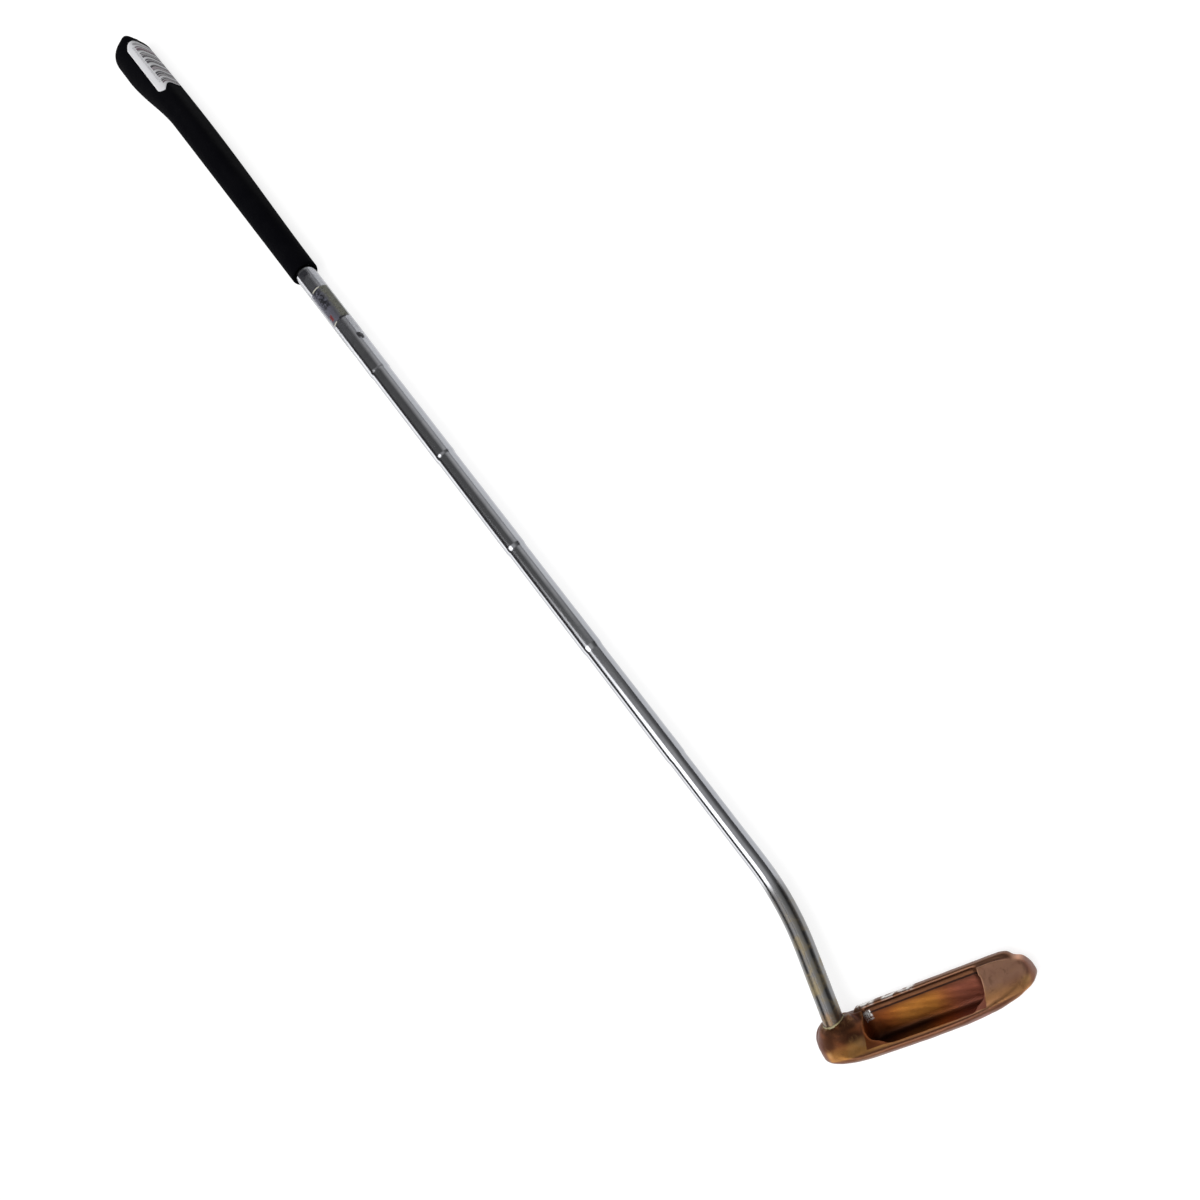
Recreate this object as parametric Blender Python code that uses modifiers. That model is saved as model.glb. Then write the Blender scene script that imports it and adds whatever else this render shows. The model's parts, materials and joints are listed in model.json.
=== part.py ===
"""Golf putter: a bronze blade head with a cavity back, a stepped and bent steel shaft,
and a rubber pistol grip. The putter is modelled as it stands at address, with the sole
on the ground, and is then laid face down on a table, as it is when it is put aside.

Address frame: +X from heel to toe, +Y towards the target, +Z up, origin on the sole
below the leading edge. Lying frame: +X from the grip to the head, +Z up.
"""
import math

import bmesh
import bpy
import numpy as np
from mathutils import Matrix, Vector
from mathutils.bvhtree import BVHTree

mm = 0.001

# Whole club
CLUB_LENGTH = 889 * mm        # 35 inches from the sole to the end of the grip, along the shaft
LIE_ANGLE = 75.8              # degrees between the shaft and the ground
SHAFT_LEAN = 7.4              # degrees that the shaft leans towards the target

# Head, a single casting
HEEL_REACH = 60.5 * mm        # from the middle of the head to its heel end
TOE_REACH = 58.0 * mm         # from the middle of the head to its toe end
HEAD_HEIGHT = 21.8 * mm       # sole to the top of the rail
HEAD_DEPTH = 27.2 * mm        # leading edge to the back of the flange
FACE_LOFT = 4.0               # degrees
FACE_WALL = 3.6 * mm          # thickness of the striking wall in the cavity
RAIL_WIDTH = 4.9 * mm         # top line above the striking wall, which it overhangs
RAIL_HEEL = 35.0 * mm         # where the raised rail ends, towards the heel
RAIL_TOE = 49.5 * mm          # where the raised rail ends, towards the toe
RAIL_END = 1.6 * mm           # length of the slope at each end of the rail
RAIL_TRIM = 0.15 * mm         # what the cavity takes off the rear edge of the rail
RAIL_DROP = 1.5 * mm          # height of the rail above the two weights
RAIL_ROUND = 1.0 * mm         # rounded rear edge of the rail
GROOVE_WIDTH = 1.5 * mm       # groove between the rail and the weights
GROOVE_DEPTH = 0.7 * mm
FLANGE_HEIGHT = 5.3 * mm      # top of the flange at its back edge
FLANGE_WIDTH = 4.0 * mm       # flat top of the flange
FLANGE_RISE = 1.0 * mm        # from the back edge of the flange to its inner edge
SCOOP_SAG = 2.0 * mm          # hollow of the sloping weights, below a straight slope
TOE_FALL_START = 40.0 * mm    # where the top of the toe weight starts to round down
TOE_FALL = 4.4 * mm           # how far it has come down at the toe
BOSS_RADIUS = 6.6 * mm        # raised boss round the socket, from front to back at its top
BOSS_SPREAD = 0.75            # the boss is wider along the head, by this ratio
BOSS_SLOPE = 0.2              # fall of the top of the boss, behind the shaft
BOSS_WALL = 2.1               # steepness of the side of the boss
BOSS_BLEND = 4.0 * mm         # size of the hollow between the boss and the heel weight
SOLE_CAMBER = 5.2 * mm        # rise of the sole towards heel and toe
SOLE_FLAT = 15.0 * mm         # half length of the flat middle of the sole
SOLE_ROUND = 2.2 * mm         # radius of the leading edge
REAR_RISE = 3.4 * mm          # rise of the sole at its rear edge
REAR_SHARE = 0.4              # share of the camber that adds to this rise
REAR_SWEEP = 0.9              # share of the depth that the rise can take up where the head is shallow
REAR_RUN = 10.0 * mm          # length of the part of the sole that rises towards the rear
FRONT_CORNER = 3.0 * mm       # radius of the face's heel and toe ends, seen from above
HEEL_SHOULDER_X = 10.0 * mm   # upper heel corner, along the head
HEEL_SHOULDER_Z = 9.0 * mm    # upper heel corner, down the head
TOE_SHOULDER_X = 13.0 * mm    # upper toe corner, along the head
TOE_SHOULDER_Z = 12.5 * mm    # upper toe corner, down the head
HEEL_CORNER = 4.5 * mm        # radius of the lower heel corner
TOE_CORNER = 3.6 * mm         # radius of the lower toe corner
HEEL_FULLNESS = (5.0, 2.8)    # exponents of the rear outline, heel half
TOE_FULLNESS = (2.0, 3.0)     # exponents of the rear outline, toe half
EDGE_ROUND = 0.7 * mm         # broken edges of the casting
OVERRUN = 5.0 * mm            # how far outlines and cutters run past what they cut
WELD_DISTANCE = 0.1 * mm
REAR_POINTS = 18              # points of the rear outline, in each half
SOLE_POINTS = 7               # points of each cambered half of the sole
SLOPE_POINTS = 12             # points down the slope of the weights
BOSS_SECTIONS = 16            # sections across the boss

# Cavity between the heel and toe weights
CAVITY_HEEL = 31.0 * mm       # heel wall of the cavity, from the middle
CAVITY_TOE = 33.0 * mm        # toe wall of the cavity, from the middle
CAVITY_CORNER = 5.0 * mm
CAVITY_BACK = 19.4 * mm       # back of the wide part, from the leading edge
TROUGH_HEEL = 15.0 * mm       # heel end of the trough along the flange
TROUGH_TOE = 26.5 * mm        # toe end of the trough along the flange
CAVITY_FLOOR = 3.4 * mm       # thickness of the sole below the cavity
FLOOR_FILLET = 1.8 * mm
RAIL_UNDERCUT = 1.8 * mm      # thickness of the rail where it overhangs the cavity
UNDERCUT_INSET = 0.5 * mm     # from the walls and the floor of the cavity to those of the undercut

# Shaft
BUTT_DIAMETER = 14.7 * mm
STEP_DROP = 0.75 * mm         # loss of diameter at each step
STEP_COUNT = 5
STEP_SPACING = 80.9 * mm
FIRST_STEP = 385.0 * mm       # first step below the grip, from the end of the grip
STEP_SHOULDER = 1.2 * mm      # length of the cone at each step
SHAFT_WALL = 0.6 * mm
SHAFT_SIDES = 24
SOCKET_HEEL = 45.4 * mm       # shaft axis where it enters the head, from the middle
SOCKET_BACK = 12.0 * mm       # the same, from the leading edge
SOCKET_HEIGHT = 22.0 * mm     # the same, above the sole
SOCKET_DEPTH = 12.0 * mm
INSERT_DIAMETER = 9.4 * mm    # reduced tip inside the socket
SHOULDER_DEPTH = 2.8 * mm     # shoulder of the reduced tip, below the middle of the socket's mouth
MOUTH_GAP = 0.3 * mm          # clearance round the shaft in the mouth of the socket
TIP_TILT = 11.5               # degrees that the tip leans towards the target
TIP_SIDE = 3.1                # degrees that the tip leans towards the toe
TIP_STRAIGHT = 36.2 * mm      # straight tip between the head and the bend
BEND_RADIUS = 166.0 * mm      # of the shaft's axis
BEND_RINGS = 14

# What holds the shaft in the head
BOND_GAP = 0.25 * mm          # clearance on each side of the epoxy and of the tape
EPOXY_THICKNESS = 0.35 * mm
PLUG_LENGTH = 7.5 * mm
PLUG_FLANGE = 1.0 * mm
PLUG_GAP = 0.3 * mm

# Grip: from the end cap downwards, each station has its distance from the end, the
# reach of the thumb side and of the palm side from the axis, and the half width
GRIP_LENGTH = 282.0 * mm
TAPE_THICKNESS = 0.25 * mm
TAPE_MARGIN = 6.0 * mm        # bare shaft between the tape and the mouth of the grip
CAP_THICKNESS = 3.2 * mm
VENT_RADIUS = 1.4 * mm        # air hole in the end cap
MOUTH_WALL = 1.6 * mm         # rubber at the mouth
THUMB_RUBBER = 2.6 * mm       # rubber over the shaft at the fullest part of the thumb side
HOOK_RUBBER = 10.6 * mm       # rubber over the shaft at the pistol hook
HOOK_STATION = 25.0 * mm      # where the hook is deepest, from the end
HOOK_LENGTH = 100.0 * mm      # where the hook has run out
PALM_RUBBER = 2.2 * mm        # rubber under the palm below the hook
SIDE_RUBBER = 4.6 * mm        # rubber at the sides, at the fullest part
SIDE_STATION = 30.0 * mm      # where the sides start to taper, from the end
THUMB_STATION = 118.0 * mm    # where the thumb side is fullest, from the end
GRIP_SIDES = 36
GRIP_STATIONS = 26
CAP_ROUND = 9.0 * mm          # rounding of the end cap along the axis

# Sticker and printed band
STICKER_GAP = 0.2 * mm
STICKER_THICKNESS = 0.15 * mm
STICKER_START = 6.0 * mm      # upper edge of the sticker, from the end of the grip
STICKER_LENGTH = 56.0 * mm
STICKER_FIRST = 72.0          # degrees round the grip, from the face's side through the thumb side
STICKER_LAST = 172.0
BAND_GAP = 0.15 * mm
BAND_THICKNESS = 0.12 * mm
BAND_LENGTH = 84.0 * mm
BAND_START = 3.0 * mm         # bare shaft between the mouth of the grip and the band

# Densities in kg per cubic metre, which say how the putter balances when it is laid down
BRONZE_DENSITY = 8300
STEEL_DENSITY = 7850
RUBBER_DENSITY = 1150
RESIN_DENSITY = 1200
PAPER_DENSITY = 900

buttRadius = BUTT_DIAMETER / 2
tipRadius = buttRadius - STEP_COUNT * STEP_DROP / 2
loftSlope = math.tan(math.radians(FACE_LOFT))
faceTop = (HEAD_HEIGHT - SOLE_ROUND) * loftSlope
blockTop = HEAD_HEIGHT - RAIL_DROP
insertRadius = INSERT_DIAMETER / 2
socketRadius = insertRadius + 2 * BOND_GAP + EPOXY_THICKNESS
boreRadius = buttRadius + 2 * BOND_GAP + TAPE_THICKNESS


for leftover in list(bpy.data.objects):
    bpy.data.objects.remove(leftover, do_unlink=True)

putterParts = bpy.data.collections.new("golf_putter")
putterCutters = bpy.data.collections.new("golf_putter_cutters")
bpy.context.scene.collection.children.link(putterParts)
bpy.context.scene.collection.children.link(putterCutters)

address = bpy.data.objects.new("address_frame", None)
putterParts.objects.link(address)


def paint(name, color, metallic, roughness):
    """One Principled material with the colour of its part."""
    material = bpy.data.materials.new(name)
    material.use_nodes = True
    shader = material.node_tree.nodes["Principled BSDF"]
    shader.inputs["Base Color"].default_value = (*color, 1)
    shader.inputs["Metallic"].default_value = metallic
    shader.inputs["Roughness"].default_value = roughness
    return material


bronze = paint("aged_bronze", (0.36, 0.20, 0.09), 0.9, 0.42)
chrome = paint("chromed_steel", (0.72, 0.73, 0.75), 1.0, 0.14)
rubber = paint("black_rubber", (0.018, 0.018, 0.019), 0.0, 0.72)
tape = paint("masking_tape", (0.62, 0.55, 0.40), 0.0, 0.8)
resin = paint("epoxy", (0.52, 0.42, 0.22), 0.0, 0.35)
nylon = paint("plug_nylon", (0.75, 0.74, 0.70), 0.0, 0.5)
paper = paint("sticker_paper", (0.86, 0.86, 0.85), 0.0, 0.55)
film = paint("printed_film", (0.10, 0.09, 0.08), 0.1, 0.5)


def place(part, material, frame=None):
    """Put a finished object in the putter's collection, carried by the address frame."""
    putterParts.objects.link(part)
    part.parent = address
    if frame is not None:
        part.matrix_local = frame
    if material is not None:
        part.data.materials.clear()
        part.data.materials.append(material)
    return part


def hide(cutter, frame=None):
    """Keep a cutter out of the render and out of the putter's own collection."""
    putterCutters.objects.link(cutter)
    cutter.parent = address
    if frame is not None:
        cutter.matrix_local = frame
    cutter.hide_render = True
    cutter.display_type = "WIRE"
    return cutter


def meshObject(name, bm):
    bmesh.ops.recalc_face_normals(bm, faces=bm.faces)
    mesh = bpy.data.meshes.new(name)
    bm.to_mesh(mesh)
    bm.free()
    return bpy.data.objects.new(name, mesh)


def curveMesh(name, curve):
    """Turn a curve into a welded, closed mesh object, ready for Booleans."""
    holder = bpy.data.objects.new(name + "_curve", curve)
    bpy.context.scene.collection.objects.link(holder)
    bpy.context.view_layer.update()
    graph = bpy.context.evaluated_depsgraph_get()
    mesh = bpy.data.meshes.new_from_object(holder.evaluated_get(graph))
    bpy.data.objects.remove(holder)
    bm = bmesh.new()
    bm.from_mesh(mesh)
    bpy.data.meshes.remove(mesh)
    bmesh.ops.remove_doubles(bm, verts=bm.verts, dist=0.00001)
    return meshObject(name, bm)


def prism(name, outline, low, high, axes):
    """Solid with a flat outline, drawn in the first two of three axes and extruded along the third."""
    curve = bpy.data.curves.new(name, "CURVE")
    curve.dimensions = "2D"
    curve.fill_mode = "BOTH"
    curve.extrude = (high - low) / 2
    spline = curve.splines.new("POLY")
    spline.points.add(len(outline) - 1)
    for point, (a, b) in zip(spline.points, outline):
        point.co = (a, b, 0, 1)
    spline.use_cyclic_u = True
    solid = curveMesh(name, curve)
    first, second, third = (Vector(axis) for axis in axes)
    turn = Matrix((first, second, third)).transposed().to_4x4()
    solid.data.transform(Matrix.Translation(third * (low + high) / 2) @ turn)
    if turn.determinant() < 0:
        solid.data.flip_normals()
    return solid


def tube(name, path, radii, sides):
    """Solid round bar that follows a path, with a radius at each of its points."""
    curve = bpy.data.curves.new(name, "CURVE")
    curve.dimensions = "3D"
    curve.bevel_depth = max(radii)
    curve.bevel_resolution = sides // 2 - 2
    curve.use_fill_caps = True
    spline = curve.splines.new("POLY")
    spline.points.add(len(path) - 1)
    for point, spot, radius in zip(spline.points, path, radii):
        point.co = (*spot, 1)
        point.radius = radius / max(radii)
    return curveMesh(name, curve)


def turned(name, profile, sides):
    """Solid of revolution about Z, from (radius, height) pairs that run from top to bottom."""
    bm = bmesh.new()
    corners = [bm.verts.new((radius, 0, height)) for radius, height in profile]
    for a, b in zip(corners, corners[1:]):
        bm.edges.new((a, b))
    mesh = bpy.data.meshes.new(name)
    bm.to_mesh(mesh)
    bm.free()
    part = bpy.data.objects.new(name, mesh)
    screw = part.modifiers.new("turn", "SCREW")
    screw.axis = "Z"
    screw.steps = sides
    screw.render_steps = sides
    screw.use_merge_vertices = True
    screw.merge_threshold = 0.00001
    screw.use_smooth_shade = False
    return part


def boolean(part, cutter, operation):
    step = part.modifiers.new(cutter.name, "BOOLEAN")
    step.operation = operation
    step.solver = "EXACT"
    step.object = cutter


def smooth(part, angle):
    part.data.shade_smooth()
    part.data.set_sharp_from_angle(angle=math.radians(angle))


def arc(centre, radii, start, end, count):
    """Points of an elliptical arc; angles in degrees, both ends included."""
    points = []
    for index in range(count + 1):
        angle = math.radians(start + (end - start) * index / count)
        points.append((centre[0] + radii[0] * math.cos(angle), centre[1] + radii[1] * math.sin(angle)))
    return points


# Shaft axis: straight tip, one bend, straight shaft up to the grip
lie = math.radians(LIE_ANGLE)
lean = math.radians(SHAFT_LEAN)
tilt = math.radians(TIP_TILT)
side = math.radians(TIP_SIDE)
shaftUp = Vector((-math.cos(lie) * math.cos(lean), math.sin(lean), math.sin(lie) * math.cos(lean)))
thumbOut = Vector((math.sin(lie), 0, math.cos(lie)))
tipUp = Vector((math.sin(side), math.sin(tilt), math.cos(tilt) * math.cos(side))).normalized()
socketMouth = Vector((-SOCKET_HEEL, -SOCKET_BACK, SOCKET_HEIGHT))
bendAngle = tipUp.angle(shaftUp)
bendStart = socketMouth + tipUp * TIP_STRAIGHT
bendIn = (shaftUp - tipUp * tipUp.dot(shaftUp)).normalized()
bendArc = BEND_RADIUS * bendAngle
clubEnd = CLUB_LENGTH - SOCKET_HEIGHT
shaftEnd = clubEnd - CAP_THICKNESS


def along(distance):
    """Point on the shaft's axis, at a distance along it from the mouth of the socket."""
    if distance <= TIP_STRAIGHT:
        return socketMouth + tipUp * distance
    angle = min((distance - TIP_STRAIGHT) / BEND_RADIUS, bendAngle)
    sweep = tipUp * math.sin(angle) + bendIn * (1 - math.cos(angle))
    rest = max(distance - TIP_STRAIGHT - bendArc, 0)
    return bendStart + sweep * BEND_RADIUS + shaftUp * rest


def frameAt(distance):
    """Local frame on the straight shaft: Z up the shaft, X out of the thumb side."""
    turn = Matrix((thumbOut, shaftUp.cross(thumbOut), shaftUp)).transposed().to_4x4()
    return Matrix.Translation(along(distance)) @ turn


stepMarks = [clubEnd - FIRST_STEP - STEP_SPACING * index for index in range(STEP_COUNT)]


def shaftStations(shrink, overrun):
    """Distances along the axis and radii of the stepped tube; shrink takes the wall off."""
    stations = [(-SOCKET_DEPTH + BOND_GAP - overrun, insertRadius),
                (-SHOULDER_DEPTH - STEP_SHOULDER / 2, insertRadius),
                (-SHOULDER_DEPTH, tipRadius)]
    for ring in range(BEND_RINGS + 1):
        stations.append((TIP_STRAIGHT + bendArc * ring / BEND_RINGS, tipRadius))
    radius = tipRadius
    for mark in reversed(stepMarks):
        stations.append((mark - STEP_SHOULDER / 2, radius))
        radius += STEP_DROP / 2
        stations.append((mark + STEP_SHOULDER / 2, radius))
    stations.append((shaftEnd + overrun, radius))
    return [(distance, radius - shrink) for distance, radius in stations]


def shaftBar(name, shrink, overrun):
    stations = shaftStations(shrink, overrun)
    path = [along(distance) for distance, radius in stations]
    return tube(name, path, [radius for distance, radius in stations], SHAFT_SIDES)


def makeShaft():
    """Stepped steel tube, bent once above the head and open at both ends."""
    shaft = place(shaftBar("shaft", 0, 0), chrome)
    bore = hide(shaftBar("shaft_bore", SHAFT_WALL, OVERRUN))
    boolean(shaft, bore, "DIFFERENCE")
    smooth(shaft, 30)
    return shaft


def smoothMax(a, b, size):
    """The larger of two heights, with a hollow of a given size where they meet."""
    overlap = max(size - abs(a - b), 0) / size
    return max(a, b) + overlap * overlap * size / 4


railBack = faceTop + RAIL_WIDTH
weightFront = railBack + GROOVE_WIDTH
flangeFront = HEAD_DEPTH - FLANGE_WIDTH


def railShare(x):
    """1 along the rail, falling to 0 at its ends."""
    toHeel = (x + RAIL_HEEL) / RAIL_END + 1
    toToe = (RAIL_TOE - x) / RAIL_END + 1
    return min(max(min(toHeel, toToe), 0), 1)


def weightTop(x):
    """Height of the front edge of the weights, which rounds down towards the toe."""
    beyond = max(x - TOE_FALL_START, 0) / (TOE_REACH - TOE_FALL_START)
    return blockTop - TOE_FALL * beyond * beyond


def weightHeight(x, depth):
    """Height of the scooped weights and of the flange, at a distance behind the leading edge."""
    flangeInner = FLANGE_HEIGHT + FLANGE_RISE
    if depth > flangeFront:
        return flangeInner - FLANGE_RISE / FLANGE_WIDTH * (depth - flangeFront)
    share = max((depth - weightFront) / (flangeFront - weightFront), 0)
    return weightTop(x) - (weightTop(x) - flangeInner) * share - 4 * SCOOP_SAG * share * (1 - share)


def bossHeight(x, depth):
    """Height of the boss round the socket: its top slopes back a little, its side is steep."""
    top = SOCKET_HEIGHT - BOSS_SLOPE * max(depth - SOCKET_BACK, 0)
    beyond = math.hypot(BOSS_SPREAD * (x + SOCKET_HEEL), depth - SOCKET_BACK) - BOSS_RADIUS
    return top - BOSS_WALL * max(beyond, 0)


def rearDepth(x):
    """Depth of the rear outline behind the leading edge, at x along the head."""
    reach, fullness = (TOE_REACH, TOE_FULLNESS) if x > 0 else (HEEL_REACH, HEEL_FULLNESS)
    share = min(abs(x) / reach, 1)
    return FRONT_CORNER + (HEAD_DEPTH - FRONT_CORNER) * (1 - share ** fullness[0]) ** (1 / fullness[1])


def soleRise(x):
    """Camber of the sole, which is flat in the middle."""
    run = TOE_REACH - TOE_CORNER if x > 0 else HEEL_REACH - HEEL_CORNER
    share = max(abs(x) - SOLE_FLAT, 0) / (run - SOLE_FLAT)
    return SOLE_CAMBER * share * share


def soleProfile(x):
    """The sole from behind its rear edge to the leading edge, as (depth, height)."""
    rear = rearDepth(x)
    run = min(REAR_RUN, (rear - SOLE_ROUND) * REAR_SWEEP)
    lift = REAR_SHARE * soleRise(x)
    highest = FLANGE_HEIGHT - FLANGE_RISE / 2
    profile = []
    for share in (1.2, 1.0, 0.83, 0.6, 0.35, 0.0):
        height = REAR_RISE * share * share + lift * share
        profile.append((rear - run * (1 - share), min(height, highest)))
    leading = arc((-SOLE_ROUND, SOLE_ROUND), (SOLE_ROUND, SOLE_ROUND), -90, 0, 4)
    return profile + [(-depth, height) for depth, height in leading[:-1]]


def sideProfile(x):
    """Section across the head at x, as (depth, height): face, rail, groove, weights, flange, sole."""
    rail = railShare(x)
    crest = weightTop(x)
    railTop = crest + (HEAD_HEIGHT - crest) * rail
    upper = [(faceTop, railTop), (railBack - RAIL_ROUND, railTop),
             (railBack - RAIL_ROUND * 0.3, railTop - RAIL_ROUND * 0.3 * rail),
             (railBack, railTop - RAIL_ROUND * rail),
             (railBack + GROOVE_WIDTH * 0.3, crest - GROOVE_DEPTH * rail),
             (weightFront, crest)]
    for index in range(1, SLOPE_POINTS + 1):
        depth = weightFront + (flangeFront - weightFront) * index / SLOPE_POINTS
        upper.append((depth, weightHeight(x, depth)))
    for depth in (HEAD_DEPTH - FLANGE_WIDTH / 2, HEAD_DEPTH + FLANGE_WIDTH / 2):
        upper.append((depth, weightHeight(x, depth)))
    profile = [(0, SOLE_ROUND)]
    profile += [(depth, smoothMax(height, bossHeight(x, depth), BOSS_BLEND)) for depth, height in upper]
    return profile + soleProfile(x)


def sectionMarks():
    """Where the sections across the head stand: close together round the boss and at the rail's ends."""
    marks = [-HEEL_REACH - OVERRUN, -RAIL_HEEL, 0, TOE_FALL_START, (TOE_FALL_START + RAIL_TOE) / 2, RAIL_TOE]
    marks += [RAIL_TOE + RAIL_END, TOE_REACH + OVERRUN] + rearMarks(TOE_REACH, TOE_FULLNESS)[2::4]
    reach = BOSS_RADIUS / BOSS_SPREAD + BOSS_BLEND
    for index in range(BOSS_SECTIONS + 1):
        marks.append(-SOCKET_HEEL + reach * (2 * index / BOSS_SECTIONS - 1))
    marks.append(-RAIL_HEEL - RAIL_END)
    return sorted(marks)


def frontOutline():
    """The head seen from behind, as (length, height): cambered sole and rounded heel and toe."""
    outline = []
    heelRun = HEEL_REACH - HEEL_CORNER
    toeRun = TOE_REACH - TOE_CORNER
    for index in range(SOLE_POINTS):
        x = -heelRun + (heelRun - SOLE_FLAT) * index / SOLE_POINTS
        outline.append((x, soleRise(x)))
    outline.append((-SOLE_FLAT, 0))
    outline.append((SOLE_FLAT, 0))
    for index in range(1, SOLE_POINTS + 1):
        x = SOLE_FLAT + (toeRun - SOLE_FLAT) * index / SOLE_POINTS
        outline.append((x, soleRise(x)))
    outline += arc((toeRun, SOLE_CAMBER + TOE_CORNER), (TOE_CORNER, TOE_CORNER), -90, 0, 6)[1:]
    toeRadii = (TOE_SHOULDER_X, TOE_SHOULDER_Z)
    outline += arc((TOE_REACH - TOE_SHOULDER_X, HEAD_HEIGHT - TOE_SHOULDER_Z), toeRadii, 0, 90, 8)
    outline.append((TOE_REACH - TOE_SHOULDER_X - RAIL_END, HEAD_HEIGHT + OVERRUN))
    heelTop = SOCKET_HEIGHT + RAIL_DROP / 4
    outline.append((-HEEL_REACH + HEEL_SHOULDER_X + RAIL_END, HEAD_HEIGHT + OVERRUN))
    heelRadii = (HEEL_SHOULDER_X, HEEL_SHOULDER_Z)
    outline += arc((-HEEL_REACH + HEEL_SHOULDER_X, heelTop - HEEL_SHOULDER_Z), heelRadii, 90, 180, 8)
    outline += arc((-heelRun, SOLE_CAMBER + HEEL_CORNER), (HEEL_CORNER, HEEL_CORNER), 180, 270, 6)[:-1]
    return outline


def rearMarks(reach, fullness):
    """Places along half of the rear outline, from the end inwards, closer together where it turns."""
    turns = [math.pi / 2 * index / REAR_POINTS for index in range(REAR_POINTS)]
    return [reach * math.cos(turn) ** (2 / fullness[0]) for turn in turns]


def planOutline():
    """The head seen from above, as (length, depth): straight face, round ends, curved flange."""
    corner = (FRONT_CORNER, FRONT_CORNER)
    outline = arc((-HEEL_REACH + FRONT_CORNER, -FRONT_CORNER), corner, 180, 90, 4)[1:]
    outline += arc((TOE_REACH - FRONT_CORNER, -FRONT_CORNER), corner, 90, 0, 4)[:-1]
    outline += [(x, -rearDepth(x)) for x in rearMarks(TOE_REACH, TOE_FULLNESS)]
    outline.append((0, -HEAD_DEPTH))
    outline += [(-x, -rearDepth(-x)) for x in reversed(rearMarks(HEEL_REACH, HEEL_FULLNESS))]
    return outline


def roundedBox(heel, toe, front, back, radius):
    """Outline of a rounded rectangle seen from above."""
    corner = (radius, radius)
    outline = arc((toe - radius, front - radius), corner, 90, 0, 5)
    outline += arc((toe - radius, back + radius), corner, 0, -90, 5)
    outline += arc((heel + radius, back + radius), corner, -90, -180, 5)
    outline += arc((heel + radius, front - radius), corner, 180, 90, 5)
    return outline


def cavityOutline():
    """Mouth of the cavity seen from above: two round corners, then soft steps to the trough."""
    corner = (CAVITY_CORNER, CAVITY_CORNER)
    front = -railBack + RAIL_TRIM
    outline = [(CAVITY_TOE, front)]
    outline += arc((CAVITY_TOE - CAVITY_CORNER, -CAVITY_BACK + CAVITY_CORNER), corner, 0, -90, 6)
    outline += softStep((CAVITY_TOE - CAVITY_CORNER, -CAVITY_BACK), (TROUGH_TOE, -flangeFront))
    outline.append((-TROUGH_HEEL, -flangeFront))
    outline += softStep((-TROUGH_HEEL, -flangeFront), (-CAVITY_HEEL + CAVITY_CORNER, -CAVITY_BACK))
    outline += arc((-CAVITY_HEEL + CAVITY_CORNER, -CAVITY_BACK + CAVITY_CORNER), corner, -90, -180, 6)[1:]
    outline.append((-CAVITY_HEEL, front))
    return outline


def softStep(start, end):
    """Curve between two points, which leaves and arrives along the head."""
    count = 8
    points = []
    for index in range(1, count + 1):
        share = index / count
        points.append((start[0] + (end[0] - start[0]) * share, start[1] + (end[1] - start[1]) * ease(share)))
    return points


def weld(part):
    """Close up the slivers that the Booleans leave, so that they don't hold the bevel back."""
    joint = part.modifiers.new("weld", "WELD")
    joint.merge_threshold = WELD_DISTANCE


def soften(part, width, segments, angle=30):
    bevel = part.modifiers.new("broken_edges", "BEVEL")
    bevel.width = width
    bevel.segments = segments
    bevel.limit_method = "ANGLE"
    bevel.angle_limit = math.radians(angle)
    bevel.use_clamp_overlap = True


def makeHead():
    """One casting: sections lofted along the head, trimmed to its two outlines, then hollowed out."""
    top = HEAD_HEIGHT + 2 * OVERRUN
    frontAxes = ((1, 0, 0), (0, 0, 1), (0, -1, 0))
    planAxes = ((1, 0, 0), (0, 1, 0), (0, 0, 1))
    rings = [[(x, -depth, height) for depth, height in sideProfile(x)] for x in sectionMarks()]
    head = place(loft("putter_head", rings), bronze)
    front = hide(prism("front_outline", frontOutline(), -OVERRUN, HEAD_DEPTH + 2 * OVERRUN, frontAxes))
    boolean(head, front, "INTERSECT")
    boolean(head, hide(prism("plan_outline", planOutline(), -OVERRUN, top, planAxes)), "INTERSECT")

    # Open cavity, behind the rail and between the weights, with the narrower trough at the flange
    cavity = hide(prism("cavity_cut", cavityOutline(), CAVITY_FLOOR, top, planAxes))
    soften(cavity, FLOOR_FILLET, 3)

    # The striking wall is thinner than the rail, which overhangs the cavity
    niche = roundedBox(-CAVITY_HEEL + UNDERCUT_INSET, CAVITY_TOE - UNDERCUT_INSET, -FACE_WALL,
                       -CAVITY_BACK + CAVITY_CORNER, CAVITY_CORNER / 2)
    nicheTop = HEAD_HEIGHT - RAIL_UNDERCUT
    undercut = hide(prism("undercut_cut", niche, CAVITY_FLOOR + UNDERCUT_INSET / 5, nicheTop, planAxes))
    shear = Matrix.Identity(4)
    shear[1][2] = -loftSlope
    undercut.data.transform(shear)
    soften(undercut, FLOOR_FILLET / 2, 2)
    for cutter in (cavity, undercut):
        boolean(head, cutter, "DIFFERENCE")

    weld(head)
    soften(head, EDGE_ROUND, 2, 28)
    mouthRadius = tipRadius + MOUTH_GAP
    shelf = -SHOULDER_DEPTH - STEP_SHOULDER / 2
    socket = turned("socket_cut", [(0, OVERRUN), (mouthRadius, OVERRUN), (mouthRadius, shelf),
                                   (socketRadius, shelf), (socketRadius, -SOCKET_DEPTH),
                                   (0, -SOCKET_DEPTH)], SHAFT_SIDES)
    hide(socket, tipFrame())
    boolean(head, socket, "DIFFERENCE")
    smooth(head, 26)
    return head


def tipFrame():
    """Local frame at the mouth of the socket, with Z up the tip of the shaft."""
    alongHead = Vector((1, 0, 0))
    sideways = (alongHead - tipUp * tipUp.dot(alongHead)).normalized()
    turn = Matrix((sideways, tipUp.cross(sideways), tipUp)).transposed().to_4x4()
    return Matrix.Translation(socketMouth) @ turn


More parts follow.
